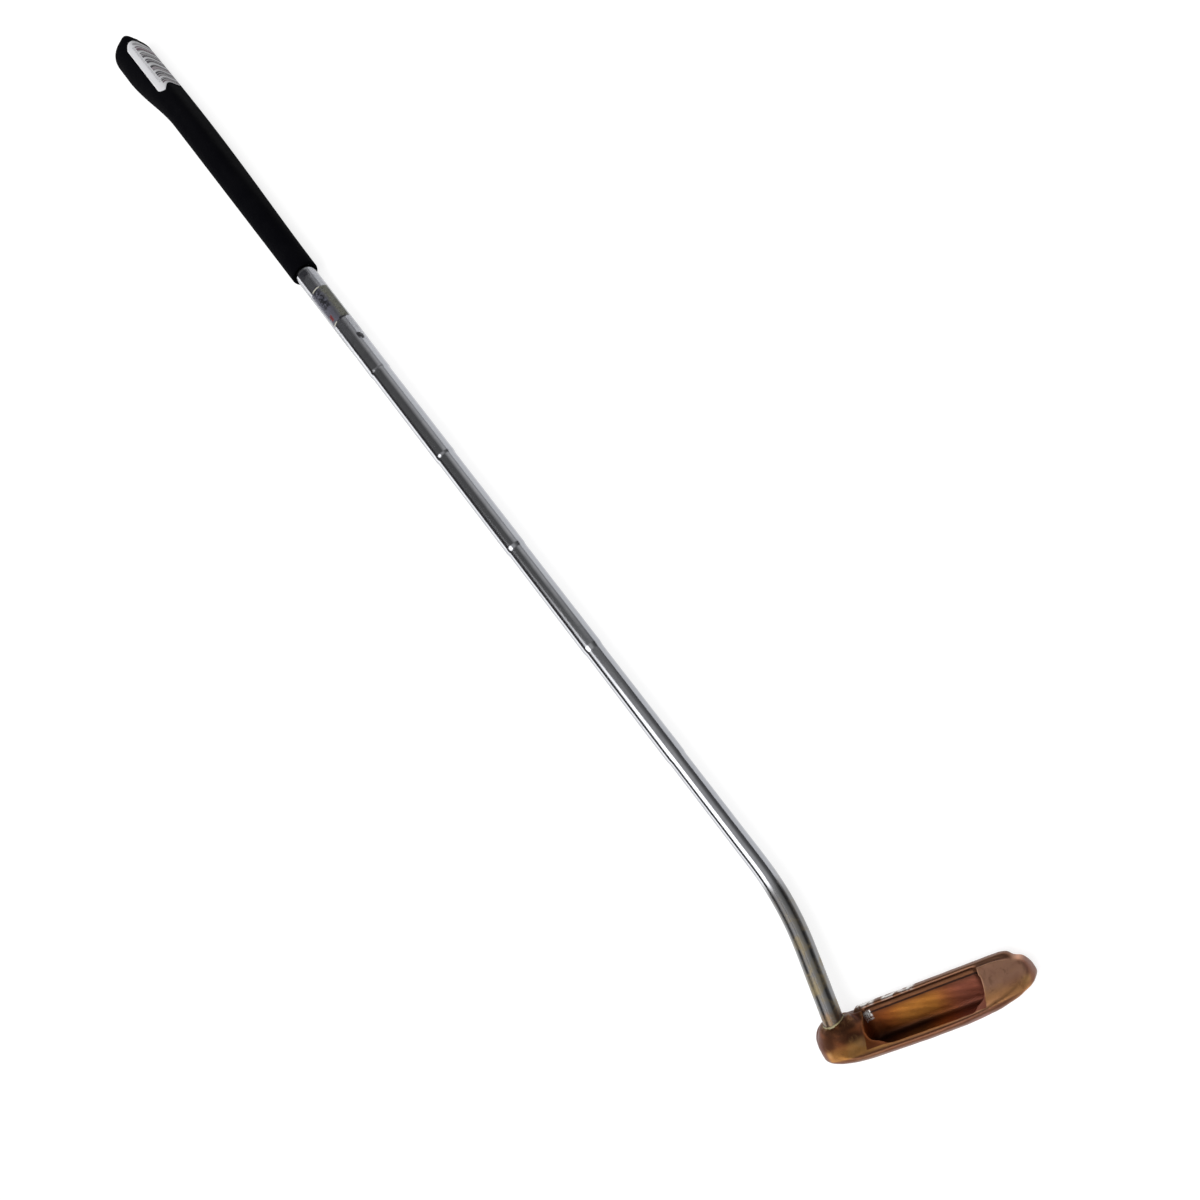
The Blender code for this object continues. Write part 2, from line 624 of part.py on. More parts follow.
def makeEpoxy():
    """Sleeve of set epoxy between the reduced tip of the shaft and the socket."""
    inner = insertRadius + BOND_GAP
    outer = inner + EPOXY_THICKNESS
    low = -SOCKET_DEPTH + BOND_GAP
    top = -SHOULDER_DEPTH - STEP_SHOULDER
    profile = [(inner, top), (outer, top), (outer, low), (inner, low), (inner, top)]
    return place(turned("socket_epoxy", profile, SHAFT_SIDES), resin, tipFrame())


def makePlug():
    """Nylon stopper pushed into the tip of the shaft before it is glued in."""
    outer = insertRadius - SHAFT_WALL - PLUG_GAP
    low = -SOCKET_DEPTH + 2 * BOND_GAP
    top = low + PLUG_LENGTH
    profile = [(0, top), (outer * 0.6, top), (outer, top - 2 * PLUG_FLANGE), (outer, low),
               (outer * 0.5, low), (outer * 0.5, low + PLUG_FLANGE), (0, low + PLUG_FLANGE)]
    return place(turned("shaft_plug", profile, SHAFT_SIDES), nylon, tipFrame())


def ease(value):
    """Smooth step from 0 to 1."""
    value = min(max(value, 0), 1)
    return value * value * (3 - 2 * value)


def gripReach(distance):
    """Thumb reach, palm reach and half width of the grip at a distance from its end."""
    mouth = boreRadius + MOUTH_WALL
    fullness = math.sin(math.pi / 2 * min(distance / THUMB_STATION, 1))
    if distance > THUMB_STATION:
        fullness = 1 - ease((distance - THUMB_STATION) / (GRIP_LENGTH - THUMB_STATION))
    cap = buttRadius + MOUTH_WALL * 0.8
    start = cap if distance < THUMB_STATION else mouth
    thumb = start + (buttRadius + THUMB_RUBBER + MOUTH_WALL * 0.5 - start) * fullness
    hook = ease(1 - (distance - HOOK_STATION) / (HOOK_LENGTH - HOOK_STATION))
    palmBase = mouth + (buttRadius + PALM_RUBBER + MOUTH_WALL * 0.3 - mouth) * (1 - distance / GRIP_LENGTH)
    palm = palmBase + (HOOK_RUBBER - PALM_RUBBER) * hook
    taper = 1 - ease((distance - SIDE_STATION) / (GRIP_LENGTH - SIDE_STATION))
    width = mouth + (buttRadius + SIDE_RUBBER - mouth) * taper
    return thumb, palm, width


def gripSection(distance, swell=0.0):
    """Cross-section as points (thumb direction, sideways), flat on the thumb side and round below."""
    thumb, palm, width = gripReach(distance)
    cap = 1.0
    if distance < CAP_ROUND:
        cap = math.sqrt(max(1 - (1 - distance / CAP_ROUND) ** 2, 0))
        cap = 0.55 + 0.45 * cap
    flat = 1 - ease((distance - THUMB_STATION) / (GRIP_LENGTH - THUMB_STATION))
    power = 2 + 2.2 * flat
    points = []
    for index in range(GRIP_SIDES):
        angle = 2 * math.pi * index / GRIP_SIDES
        across = math.cos(angle)
        out = math.sin(angle)
        square = 2 / power if out > 0 else 1.0
        reach = thumb if out > 0 else palm
        x = reach * math.copysign(abs(out) ** square, out) * cap
        y = width * math.copysign(abs(across) ** square, across) * cap
        length = math.hypot(x, y)
        points.append((x * (1 + swell / length), y * (1 + swell / length)))
    return points


def loft(name, rings):
    """Closed solid through rings of equal counts of points, with a flat face at each end."""
    bm = bmesh.new()
    loops = [[bm.verts.new(point) for point in ring] for ring in rings]
    for lower, upper in zip(loops, loops[1:]):
        for index, corner in enumerate(lower):
            after = (index + 1) % len(lower)
            bm.faces.new((corner, lower[after], upper[after], upper[index]))
    bm.faces.new(list(reversed(loops[0])))
    bm.faces.new(loops[-1])
    return meshObject(name, bm)


def makeGrip():
    """Moulded sleeve, closed but for an air hole at its end: a loft with the shaft's bore cut out."""
    distances = [0, CAP_ROUND * 0.06, CAP_ROUND * 0.2, CAP_ROUND * 0.45, CAP_ROUND]
    for index in range(1, GRIP_STATIONS + 1):
        share = index / GRIP_STATIONS
        distances.append(CAP_ROUND + (GRIP_LENGTH - CAP_ROUND) * share)
    rings = [[(x, y, -distance) for x, y in gripSection(distance)] for distance in distances]
    grip = place(loft("grip", rings), rubber, frameAt(clubEnd))
    boreTop = -CAP_THICKNESS + BOND_GAP
    low = -GRIP_LENGTH - OVERRUN
    bore = turned("grip_bore", [(0, OVERRUN), (VENT_RADIUS, OVERRUN), (VENT_RADIUS, boreTop),
                                (boreRadius, boreTop), (boreRadius, low), (0, low)], SHAFT_SIDES)
    hide(bore, frameAt(clubEnd))
    boolean(grip, bore, "DIFFERENCE")
    smooth(grip, 40)
    return grip


def sleeve(name, radius, thickness, low, high, material):
    """Thin tube round the straight shaft, between two distances from the end of the grip."""
    outer = radius + thickness
    profile = [(radius, -low), (outer, -low), (outer, -high), (radius, -high), (radius, -low)]
    return place(turned(name, profile, SHAFT_SIDES), material, frameAt(clubEnd))


def makeTape():
    return sleeve("grip_tape", buttRadius + BOND_GAP, TAPE_THICKNESS,
                  CAP_THICKNESS + 2 * mm, GRIP_LENGTH - TAPE_MARGIN, tape)


def makeBand():
    start = GRIP_LENGTH + BAND_START
    return sleeve("shaft_band", buttRadius + BAND_GAP, BAND_THICKNESS, start, start + BAND_LENGTH, film)


def makeSticker():
    """Paper sticker bent over the near edge of the thumb side."""
    rows = 10
    first = round(STICKER_FIRST / 360 * GRIP_SIDES)
    last = round(STICKER_LAST / 360 * GRIP_SIDES)
    bm = bmesh.new()
    grid = []
    for row in range(rows + 1):
        distance = STICKER_START + STICKER_LENGTH * row / rows
        section = gripSection(distance, STICKER_GAP)
        grid.append([bm.verts.new((*section[side % GRIP_SIDES], -distance)) for side in range(first, last + 1)])
    for upper, lower in zip(grid, grid[1:]):
        for index in range(len(upper) - 1):
            bm.faces.new((upper[index], upper[index + 1], lower[index + 1], lower[index]))
    sticker = meshObject("grip_sticker", bm)
    place(sticker, paper, frameAt(clubEnd))
    thickness = sticker.modifiers.new("paper", "SOLIDIFY")
    thickness.thickness = STICKER_THICKNESS
    thickness.offset = 1.0
    thickness.use_even_offset = True
    return sticker


def solidShape(part):
    """Triangles of a finished piece in the address frame, as an array of corner points."""
    graph = bpy.context.evaluated_depsgraph_get()
    mesh = part.evaluated_get(graph).to_mesh()
    mesh.calc_loop_triangles()
    corners = [mesh.vertices[corner].co for triangle in mesh.loop_triangles for corner in triangle.vertices]
    points = np.array([part.matrix_local @ corner for corner in corners])
    return points.reshape(-1, 3, 3)


def balancePoint(weighed):
    """Centre of mass of pieces given as (triangles, density) pairs."""
    mass = 0.0
    moment = np.zeros(3)
    for triangles, density in weighed:
        volumes = np.einsum("ij,ij->i", triangles[:, 0], np.cross(triangles[:, 1], triangles[:, 2])) / 6
        mass += volumes.sum() * density
        moment += (volumes[:, None] * triangles.sum(axis=1) / 4).sum(axis=0) * density
    return Vector(moment / mass)


def layDown(densities):
    """Turn the address frame so that the putter lies face down, as it comes to rest on a table.

    It rests on the face of its convex hull that lies under its centre of mass, which is looked
    for on the side of the striking face.
    """
    bpy.context.view_layer.update()
    weighed = [(solidShape(part), density) for part, density in densities]
    points = np.vstack([triangles.reshape(-1, 3) for triangles, density in weighed])
    balance = balancePoint(weighed)
    hull = bmesh.new()
    for point in points:
        hull.verts.new(point)
    bmesh.ops.remove_doubles(hull, verts=hull.verts, dist=0.00001)
    bmesh.ops.convex_hull(hull, input=hull.verts)
    tree = BVHTree.FromBMesh(hull)
    hull.free()
    down = shaftUp.cross(thumbOut).normalized()
    for attempt in range(8):
        spot, normal, face, reach = tree.ray_cast(balance, down)
        down = normal if normal.dot(down) > 0 else -normal
    up = -down
    ahead = -(shaftUp - up * shaftUp.dot(up)).normalized()
    turn = Matrix((ahead, up.cross(ahead), up)).to_4x4()
    lying = points @ np.array(turn.to_3x3()).T
    low = lying.min(axis=0)
    high = lying.max(axis=0)
    shift = Vector((-(low[0] + high[0]) / 2, -(low[1] + high[1]) / 2, -low[2]))
    address.matrix_world = Matrix.Translation(shift) @ turn


densities = [
    (makeShaft(), STEEL_DENSITY),
    (makeHead(), BRONZE_DENSITY),
    (makeGrip(), RUBBER_DENSITY),
    (makeEpoxy(), RESIN_DENSITY),
    (makePlug(), RESIN_DENSITY),
    (makeTape(), PAPER_DENSITY),
    (makeBand(), PAPER_DENSITY),
    (makeSticker(), PAPER_DENSITY),
]
layDown(densities)
bpy.context.view_layer.update()
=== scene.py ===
import json
import math

import bmesh
import bpy
import numpy as np
from mathutils import Euler, Matrix


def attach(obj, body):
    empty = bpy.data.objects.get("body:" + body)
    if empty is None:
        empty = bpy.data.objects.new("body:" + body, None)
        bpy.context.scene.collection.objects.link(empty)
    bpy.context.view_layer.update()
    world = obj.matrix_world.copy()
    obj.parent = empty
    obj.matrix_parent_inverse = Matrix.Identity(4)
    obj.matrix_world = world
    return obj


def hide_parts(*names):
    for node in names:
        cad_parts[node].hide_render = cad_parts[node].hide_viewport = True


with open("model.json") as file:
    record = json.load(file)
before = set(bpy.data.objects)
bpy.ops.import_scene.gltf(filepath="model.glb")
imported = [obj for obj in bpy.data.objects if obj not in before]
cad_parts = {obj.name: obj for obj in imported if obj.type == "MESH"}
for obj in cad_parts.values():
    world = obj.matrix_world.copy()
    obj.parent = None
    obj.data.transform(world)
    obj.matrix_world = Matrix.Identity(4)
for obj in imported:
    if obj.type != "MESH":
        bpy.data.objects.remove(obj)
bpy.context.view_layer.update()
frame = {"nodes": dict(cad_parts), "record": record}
nodes = frame["nodes"]
mounts = {mount["name"]: mount for mount in frame["record"]["mounts"]}
mm = 0.001

# The putter as it stands at address, in millimetres and degrees: x from heel to toe,
# y towards the target, z up, origin on the sole below the leading edge
club = {
    "length": 889,
    "lie": 75.8,
    "lean": 7.4,
    "tipTilt": 11.5,
    "tipSide": 3.1,
    "socket": (-45.4, -12.0, 22.0),
    "socketDepth": 12.0,
    "tipStraight": 36.2,
    "bendRadius": 166.0,
    "headDepth": 27.2,
    "bondGap": 0.25,
}


def unit(vector):
    # the same direction with length 1
    return vector / np.linalg.norm(vector)


# The mounts say how the address frame lies on the table
soleSpot = np.array(mounts["sole_flat"]["pos_m"])
upWay = -np.array(mounts["sole_flat"]["axis"])
faceWay = np.array(mounts["striking_face"]["axis"])
targetWay = unit(faceWay - upWay * (faceWay @ upWay))
toeWay = np.cross(targetWay, upWay)
ways = np.stack([toeWay, targetWay, upWay])
groundSpot = soleSpot + targetWay * club["headDepth"] / 2 * mm


def toWorld(points):
    # points of the address frame in millimetres, to metres on the table
    return groundSpot + (points * mm) @ ways


def toAddress(points):
    # the other way: metres on the table, to millimetres of the address frame
    return ((points - groundSpot) @ ways.T) / mm


# The shaft's axis: a straight tip, one arc, then straight up to the grip
lie, lean, tilt, side = (math.radians(club[key]) for key in ("lie", "lean", "tipTilt", "tipSide"))
shaftUp = np.array([-math.cos(lie) * math.cos(lean), math.sin(lean), math.sin(lie) * math.cos(lean)])
thumbOut = np.array([math.sin(lie), 0, math.cos(lie)])
gripSide = np.cross(shaftUp, thumbOut)
tipUp = unit(np.array([math.sin(side), math.sin(tilt), math.cos(tilt) * math.cos(side)]))
bendIn = unit(shaftUp - tipUp * (tipUp @ shaftUp))
bendNormal = np.cross(tipUp, bendIn)
bendAngle = math.acos(tipUp @ shaftUp)
bendLength = club["bendRadius"] * bendAngle
socketMouth = np.array(club["socket"])
clubEnd = club["length"] - club["socket"][2]
# the grip's and the shaft's own directions on the table: out, sideways and up
shaftWays = np.stack([thumbOut @ ways, gripSide @ ways, shaftUp @ ways])


def shaftLine(distance):
    # place and direction at distances along the axis from the mouth of the socket: the arc has the
    # bend's radius, and both straights carry on from its ends
    angle = np.clip((distance - club["tipStraight"]) / club["bendRadius"], 0, bendAngle)[:, None]
    before = np.minimum(distance, club["tipStraight"])[:, None]
    beyond = np.maximum(distance - club["tipStraight"] - bendLength, 0)[:, None]
    sweep = tipUp * np.sin(angle) + bendIn * (1 - np.cos(angle))
    place = socketMouth + tipUp * before + sweep * club["bendRadius"] + shaftUp * beyond
    return place, tipUp * np.cos(angle) + bendIn * np.sin(angle)


def ease(value):
    # smooth step from 0 to 1
    value = np.clip(value, 0, 1)
    return value * value * (3 - 2 * value)


def easeBetween(value, span):
    # smooth step from 0 to 1 while the value goes from the span's first number to its second
    return ease((value - span[0]) / (span[1] - span[0]))


# Surfaces

def faceOut(mesh):
    # turns the faces of a closed surface outwards
    work = bmesh.new()
    work.from_mesh(mesh)
    bmesh.ops.recalc_face_normals(work, faces=work.faces)
    work.to_mesh(mesh)
    work.free()


def cellCorners(grid):
    # the four corners of every cell of a grid, in turn
    return np.stack([grid[:-1, :-1], grid[:-1, 1:], grid[1:, 1:], grid[1:, :-1]], axis=2)


def surfaceMesh(name, grid, closed=False, along=None):
    # The grid is rows x columns x 3 points in metres. Neighbouring points are joined by four-sided
    # faces, and a closed surface has its first row and column again after the last. In the UV map
    # a column's place is its share of the way across, and a row's is what along gives.
    rows, columns = grid.shape[:2]
    rowOrder = np.arange(rows + closed) % rows
    columnOrder = np.arange(columns + closed) % columns
    corners = cellCorners(rowOrder[:, None] * columns + columnOrder[None, :])
    mesh = bpy.data.meshes.new(name)
    mesh.from_pydata(grid.reshape(-1, 3).tolist(), [], corners.reshape(-1, 4).tolist())
    if along is not None:
        across = np.linspace(0, 1, columns + closed)
        spots = cellCorners(np.stack(np.meshgrid(across, along[rowOrder]), axis=-1))
        mesh.uv_layers.new(name="surface").data.foreach_set("uv", spots.ravel().astype(np.float32))
    mesh.shade_smooth()
    if closed:
        faceOut(mesh)
    piece = bpy.data.objects.new(name, mesh)
    bpy.context.scene.collection.objects.link(piece)
    return piece


def ringGrid(places, first, second, radii, sides):
    # rings of equal counts of points: place + radius x (first x cos + second x sin)
    turn = np.arange(sides) / sides * 2 * math.pi
    spoke = first[..., None, :] * np.cos(turn)[:, None] + second[..., None, :] * np.sin(turn)[:, None]
    return places[:, None, :] + radii[:, None, None] * spoke


def dress(piece, material, nodeName):
    # gives a piece its material, joins it to the root body and hides the node that it stands for
    piece.data.materials.clear()
    piece.data.materials.append(material)
    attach(piece, "root")
    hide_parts(nodeName)


# Materials

class Value:
    # a number that changes over a surface; sums and products of it add Math nodes
    def __init__(self, paint, socket):
        self.paint = paint
        self.socket = socket

    def math(self, operation, first, second):
        node = self.paint.add("ShaderNodeMath", {"operation": operation}, {0: first, 1: second})
        return Value(self.paint, node.outputs[0])

    def __add__(self, other):
        return self.math("ADD", self, other)

    def __radd__(self, other):
        return self.math("ADD", other, self)

    def __sub__(self, other):
        return self.math("SUBTRACT", self, other)

    def __rsub__(self, other):
        return self.math("SUBTRACT", other, self)

    def __mul__(self, other):
        return self.math("MULTIPLY", self, other)

    def __rmul__(self, other):
        return self.math("MULTIPLY", other, self)

    def sine(self):
        return self.math("SINE", self, 0.0)

    def power(self, other):
        return self.math("POWER", self, other)

    def atLeast(self, other):
        return self.math("MAXIMUM", self, other)

    def atMost(self, other):
        return self.math("MINIMUM", self, other)

    def between(self, low, high, start=0.0, end=1.0):
        # smooth step from start to end while the number goes from low to high
        sockets = {"Value": self, "From Min": low, "From Max": high, "To Min": start, "To Max": end}
        node = self.paint.add("ShaderNodeMapRange", {"interpolation_type": "SMOOTHSTEP"}, sockets)
        return Value(self.paint, node.outputs[0])

    def bandPass(self, middle, reach, blur):
        # 1 within reach of the middle, falling to 0 over the blur
        offset = self - middle
        return (offset * offset).power(0.5).between(reach, reach + blur, 1.0, 0.0)

    def span(self, *numbers):
        # a ramp or a band, by the count of its numbers
        return self.between(*numbers) if len(numbers) == 2 else self.bandPass(*numbers)


class Paint:
    # one material, or the world: every node comes from add, and finish sets the shader's sockets
    def __init__(self, name, owner=None):
        self.owner = owner or bpy.data.materials.new(name)
        self.owner.use_nodes = True
        self.tree = self.owner.node_tree

    def add(self, kind, settings, sockets):
        node = self.tree.nodes.new(kind)
        for name, setting in settings.items():
            setattr(node, name, setting)
        for name, value in sockets.items():
            self.plug(node.inputs[name], value)
        return node

    def plug(self, socket, value):
        # a value or a socket is linked, anything else is set
        if isinstance(value, Value):
            self.tree.links.new(value.socket, socket)
        elif isinstance(value, bpy.types.NodeSocket):
            self.tree.links.new(value, socket)
        else:
            socket.default_value = value

    def place(self, directions):
        # object coordinates in millimetres from the ground spot, along three directions given as rows
        source = self.add("ShaderNodeTexCoord", {}, {}).outputs["Object"]
        shift = -(directions @ groundSpot) / mm
        turn = Matrix(directions.tolist()).to_euler()
        sockets = {"Vector": source, "Location": shift, "Rotation": turn, "Scale": (1 / mm,) * 3}
        return self.add("ShaderNodeMapping", {"vector_type": "POINT"}, sockets).outputs[0]

    def surfacePlace(self):
        # across and along, from the piece's own UV map
        source = self.add("ShaderNodeUVMap", {"uv_map": "surface"}, {}).outputs[0]
        return self.split(source)[:2]

    def split(self, vector):
        node = self.add("ShaderNodeSeparateXYZ", {}, {"Vector": vector})
        return [Value(self, socket) for socket in node.outputs]

    def join(self, x, y, z):
        return self.add("ShaderNodeCombineXYZ", {}, {"X": x, "Y": y, "Z": z}).outputs[0]

    def stretch(self, vector, scale):
        node = self.add("ShaderNodeVectorMath", {"operation": "MULTIPLY"}, {0: vector, 1: scale})
        return node.outputs[0]

    def noise(self, vector, scale, detail, rough, twist=0.0):
        sockets = {"Vector": vector, "Scale": scale, "Detail": detail}
        sockets |= {"Roughness": rough, "Distortion": twist}
        node = self.add("ShaderNodeTexNoise", {"noise_dimensions": "3D"}, sockets)
        return Value(self, node.outputs["Fac"])

    def cells(self, vector, scale, feature="F1"):
        node = self.add("ShaderNodeTexVoronoi", {"feature": feature}, {"Vector": vector, "Scale": scale})
        return Value(self, node.outputs["Distance"])

    def attribute(self, name):
        return Value(self, self.add("ShaderNodeAttribute", {"attribute_name": name}, {}).outputs["Fac"])

    def mix(self, factor, first, second):
        colors = [(*color, 1.0) if isinstance(color, tuple) else color for color in (first, second)]
        node = self.add("ShaderNodeMix", {"data_type": "RGBA"}, {0: factor, 6: colors[0], 7: colors[1]})
        return node.outputs[2]

    def layers(self, looks, color, *covers):
        # lays colours over a first one, in order: each cover is its share and its colour's name
        for share, cover in covers:
            color = self.mix(share, color, looks[cover])
        return color

    def bump(self, height, depth):
        # height is 0 to 1, and depth is what 1 stands for, in millimetres
        sockets = {"Height": height, "Distance": depth * mm, "Strength": 1.0}
        return self.add("ShaderNodeBump", {}, sockets).outputs[0]

    def finish(self, shader="Principled BSDF", **sockets):
        # BaseColor stands for the socket Base Color, and so on
        for name, value in sockets.items():
            label = "".join(" " + letter if letter.isupper() else letter for letter in name).strip()
            label = {"Specular": "Specular IOR Level"}.get(label, label)
            color = isinstance(value, tuple) and len(value) == 3
            self.plug(self.tree.nodes[shader].inputs[label], (*value, 1.0) if color else value)
        return self.owner


def spotShares(axes, places):
    # the share of each place: the product of its ramps and bands, on the axes that they name. Two
    # numbers are a ramp, from 0 at the first to 1 at the second; three are a band: its middle, its
    # reach to each side and its blur.
    shares = {}
    for name, spans in places.items():
        parts = [axes[axis].span(*numbers) for axis, numbers in spans.items()]
        shares[name] = math.prod(parts[1:], start=parts[0])
    return shares


# Head

# The places of the colours are in millimetres at address: x to the toe, depth to the back, z up, and
# the valley runs down a slant from its top
headLooks = {
    "voxel": 0.42,
    "mergeDistance": 0.001,
    "rounding": {
        "passes": 44, "share": 0.5, "least": 0.10, "middle": -1, "ends": (44, 52),
        "ridgeDepth": (14, 19), "ridgeHeight": (11, 8), "socketToe": -35, "socketHeight": (19, 15),
    },
    "smoothing": {"passes": 5, "inwards": 0.5, "outwards": -0.3},
    "cavity": {
        "heel": -31, "toe": 33, "front": 5.8, "back": 23.5, "rim": 16.5, "top": 20.2, "floor": 1.5,
        "margin": 0.6, "behindWall": 3, "wallReach": 1.2, "blurPasses": 3, "share": 0.6, "passes": 60,
    },
    "ripples": ((0.62, 0.24, 0.44), (-0.63, 1.02, 0.45), (0.4, -1.12, 1.64)),
    "rippleHeight": 0.05,
    "wearBlur": 4,
    "edgeWear": 9,
    "cornerShadeAndGrime": 11,
    "umber": (0.19, 0.062, 0.024),
    "gold": (0.54, 0.25, 0.066),
    "paleGold": (0.68, 0.38, 0.15),
    "rose": (0.60, 0.32, 0.21),
    "copper": (0.13, 0.050, 0.036),
    "railBrown": (0.13, 0.060, 0.034),
    "railWarm": (0.17, 0.070, 0.032),
    "glow": (0.34, 0.085, 0.014),
    "glowHeart": (0.56, 0.235, 0.042),
    "maroon": (0.24, 0.078, 0.056),
    "shadow": (0.055, 0.020, 0.010),
    "soot": (0.022, 0.009, 0.006),
    "silver": (0.80, 0.80, 0.78),
    "valleyTop": (-44, 17),
    "valleySlope": 1.6,
    "places": {
        "low": {"z": (13.0, 8.0)},
        "towardsToe": {"x": (-30, 12)},
        "valley": {"slant": (0, 2.5, 5.0), "z": (8, 12), "x": (-28, -34)},
        "shoulder": {"x": (-37, 3.5, 3), "z": (15.5, 17.5)},
        "litBesideCavity": {"x": (-31, 5, 6), "z": (13.0, 8.0)},
        "strip": {"depth": (20.5, 22.5), "z": (4.4, 5.4), "x": (-2, 34, 6)},
        "stripToe": {"x": (8, 26)},
        "rear": {"z": (6.2, 5.2), "depth": (14, 22)},
        "rail": {"z": (16.6, 17.6), "depth": (8.5, 7.0), "x": (8, 42, 4)},
        "toeTip": {"x": (53.5, 56.5)},
        "heelTip": {"x": (-51.5, -55.0)},
        "heelShadowPatch": {"x": (-50.5, 2.5, 3.5), "z": (14.5, 1.5, 3.0)},
        "wornHeel": {"x": (-29, 4, 2)},
        "wornMiddle": {"x": (-10, 8, 2)},
        "wornEdge": {"z": (20.3, 20.9), "depth": (6.4, 5.0)},
        "wallHighlight": {"x": (-3, 6, 16), "z": (11.5, 2, 7)},
        "wallToe": {"x": (2, 22)},
        "wallHeel": {"x": (-14, -30)},
        "wallTop": {"z": (13.0, 17.0)},
        "railFoot": {"z": (17.2, 17.8)},
        "railShadowLine": {"z": (17.1, 0.25, 0.45)},
        "flangeShadowCorner": {"z": (8.5, 3.6), "x": (16, -6)},
        "scrape": {"x": (-29.6, 1.0, 1.2), "depth": (6.0, 1.6, 1.6), "z": (16.2, 2.0, 1.0)},
        "heelGlint": {"x": (-51.4, 0.2, 2.2)},
        "toeGlint": {"x": (54.6, 0.2, 2.2)},
        "glintHeight": {"z": (9.3, 0.2, 2.0)},
    },
}

def castSurface(node, name):
    # a copy of a node, merged and remeshed to an even grid, so that its edges can be softened
    mesh = node.data.copy()
    work = bmesh.new()
    work.from_mesh(mesh)
    bmesh.ops.remove_doubles(work, verts=work.verts, dist=headLooks["mergeDistance"] * mm)
    work.to_mesh(mesh)
    work.free()
    piece = bpy.data.objects.new(name, mesh)
    bpy.context.scene.collection.objects.link(piece)
    remesh = piece.modifiers.new("evenGrid", "REMESH")
    remesh.mode = "VOXEL"
    remesh.voxel_size = headLooks["voxel"] * mm
    bpy.context.view_layer.update()
    graph = bpy.context.evaluated_depsgraph_get()
    even = bpy.data.meshes.new_from_object(piece.evaluated_get(graph))
    piece.modifiers.clear()
    piece.data = even
    bpy.data.meshes.remove(mesh)
    even.name = name
    return piece


def readArray(items, name, width, kind=float):
    # one row of numbers for each vertex or edge
    values = np.empty(len(items) * width, kind)
    items.foreach_get(name, values)
    return values.reshape(-1, width)


def meshArrays(mesh):
    # points, normals, and links: the edges as pairs of points, and each point's count of neighbours
    points = readArray(mesh.vertices, "co", 3)
    normals = readArray(mesh.vertices, "normal", 3)
    edges = readArray(mesh.edges, "vertices", 2, np.int64)
    counts = np.bincount(edges.ravel(), minlength=len(points)).astype(float)
    return points, normals, (edges, counts)


def neighbourMean(values, links):
    # the mean over each point's neighbours, summed along both ends of every edge
    edges, counts = links
    total = np.empty_like(values)
    for column in range(values.shape[1]):
        total[:, column] = (np.bincount(edges[:, 0], values[edges[:, 1], column], len(values))
                            + np.bincount(edges[:, 1], values[edges[:, 0], column], len(values)))
    return total / counts[:, None]


def blurred(values, links, passes):
    # each pass gives every point the mean of its neighbours
    for index in range(passes):
        values = neighbourMean(values, links)
    return values


def relax(points, links, share, passes):
    # each pass moves every point by its share of the way to the mean of its neighbours
    for index in range(passes):
        points = points + share * (neighbourMean(points, links) - points)
    return points


def cavityShare(spots, top):
    # 1 inside the cavity up to a height and 0 outside, in the address frame; above the blocks' inner
    # edges only the wall behind the rail counts
    cavity = headLooks["cavity"]
    x, depth, z = spots[:, 0], -spots[:, 1], spots[:, 2]
    deepest = np.where(z < cavity["rim"], cavity["back"], cavity["front"] + cavity["wallReach"])
    inside = (x > cavity["heel"] - cavity["margin"]) & (x < cavity["toe"] + cavity["margin"])
    inside &= (depth > cavity["front"] - cavity["behindWall"]) & (depth < deepest)
    return (inside & (z < top) & (z > cavity["floor"])).astype(float)[:, None]


def roundingShare(spots):
    # 1 along the rear ridge and at both ends, little on the rail and at the socket
    looks = headLooks["rounding"]
    x, depth, z = spots[:, 0], -spots[:, 1], spots[:, 2]
    ridge = easeBetween(depth, looks["ridgeDepth"]) * easeBetween(z, looks["ridgeHeight"])
    ends = easeBetween(np.abs(x - looks["middle"]), looks["ends"])
    ends = ends * np.where(x < looks["socketToe"], easeBetween(z, looks["socketHeight"]), 1)
    return np.maximum(np.maximum(ridge, ends), looks["least"])[:, None]


def storeShare(mesh, name, values):
    # keeps a number from 0 to 1 at each point, for the material to read
    attribute = mesh.attributes.new(name, "FLOAT", "POINT")
    attribute.data.foreach_set("value", np.clip(values, 0, 1).astype(np.float32))


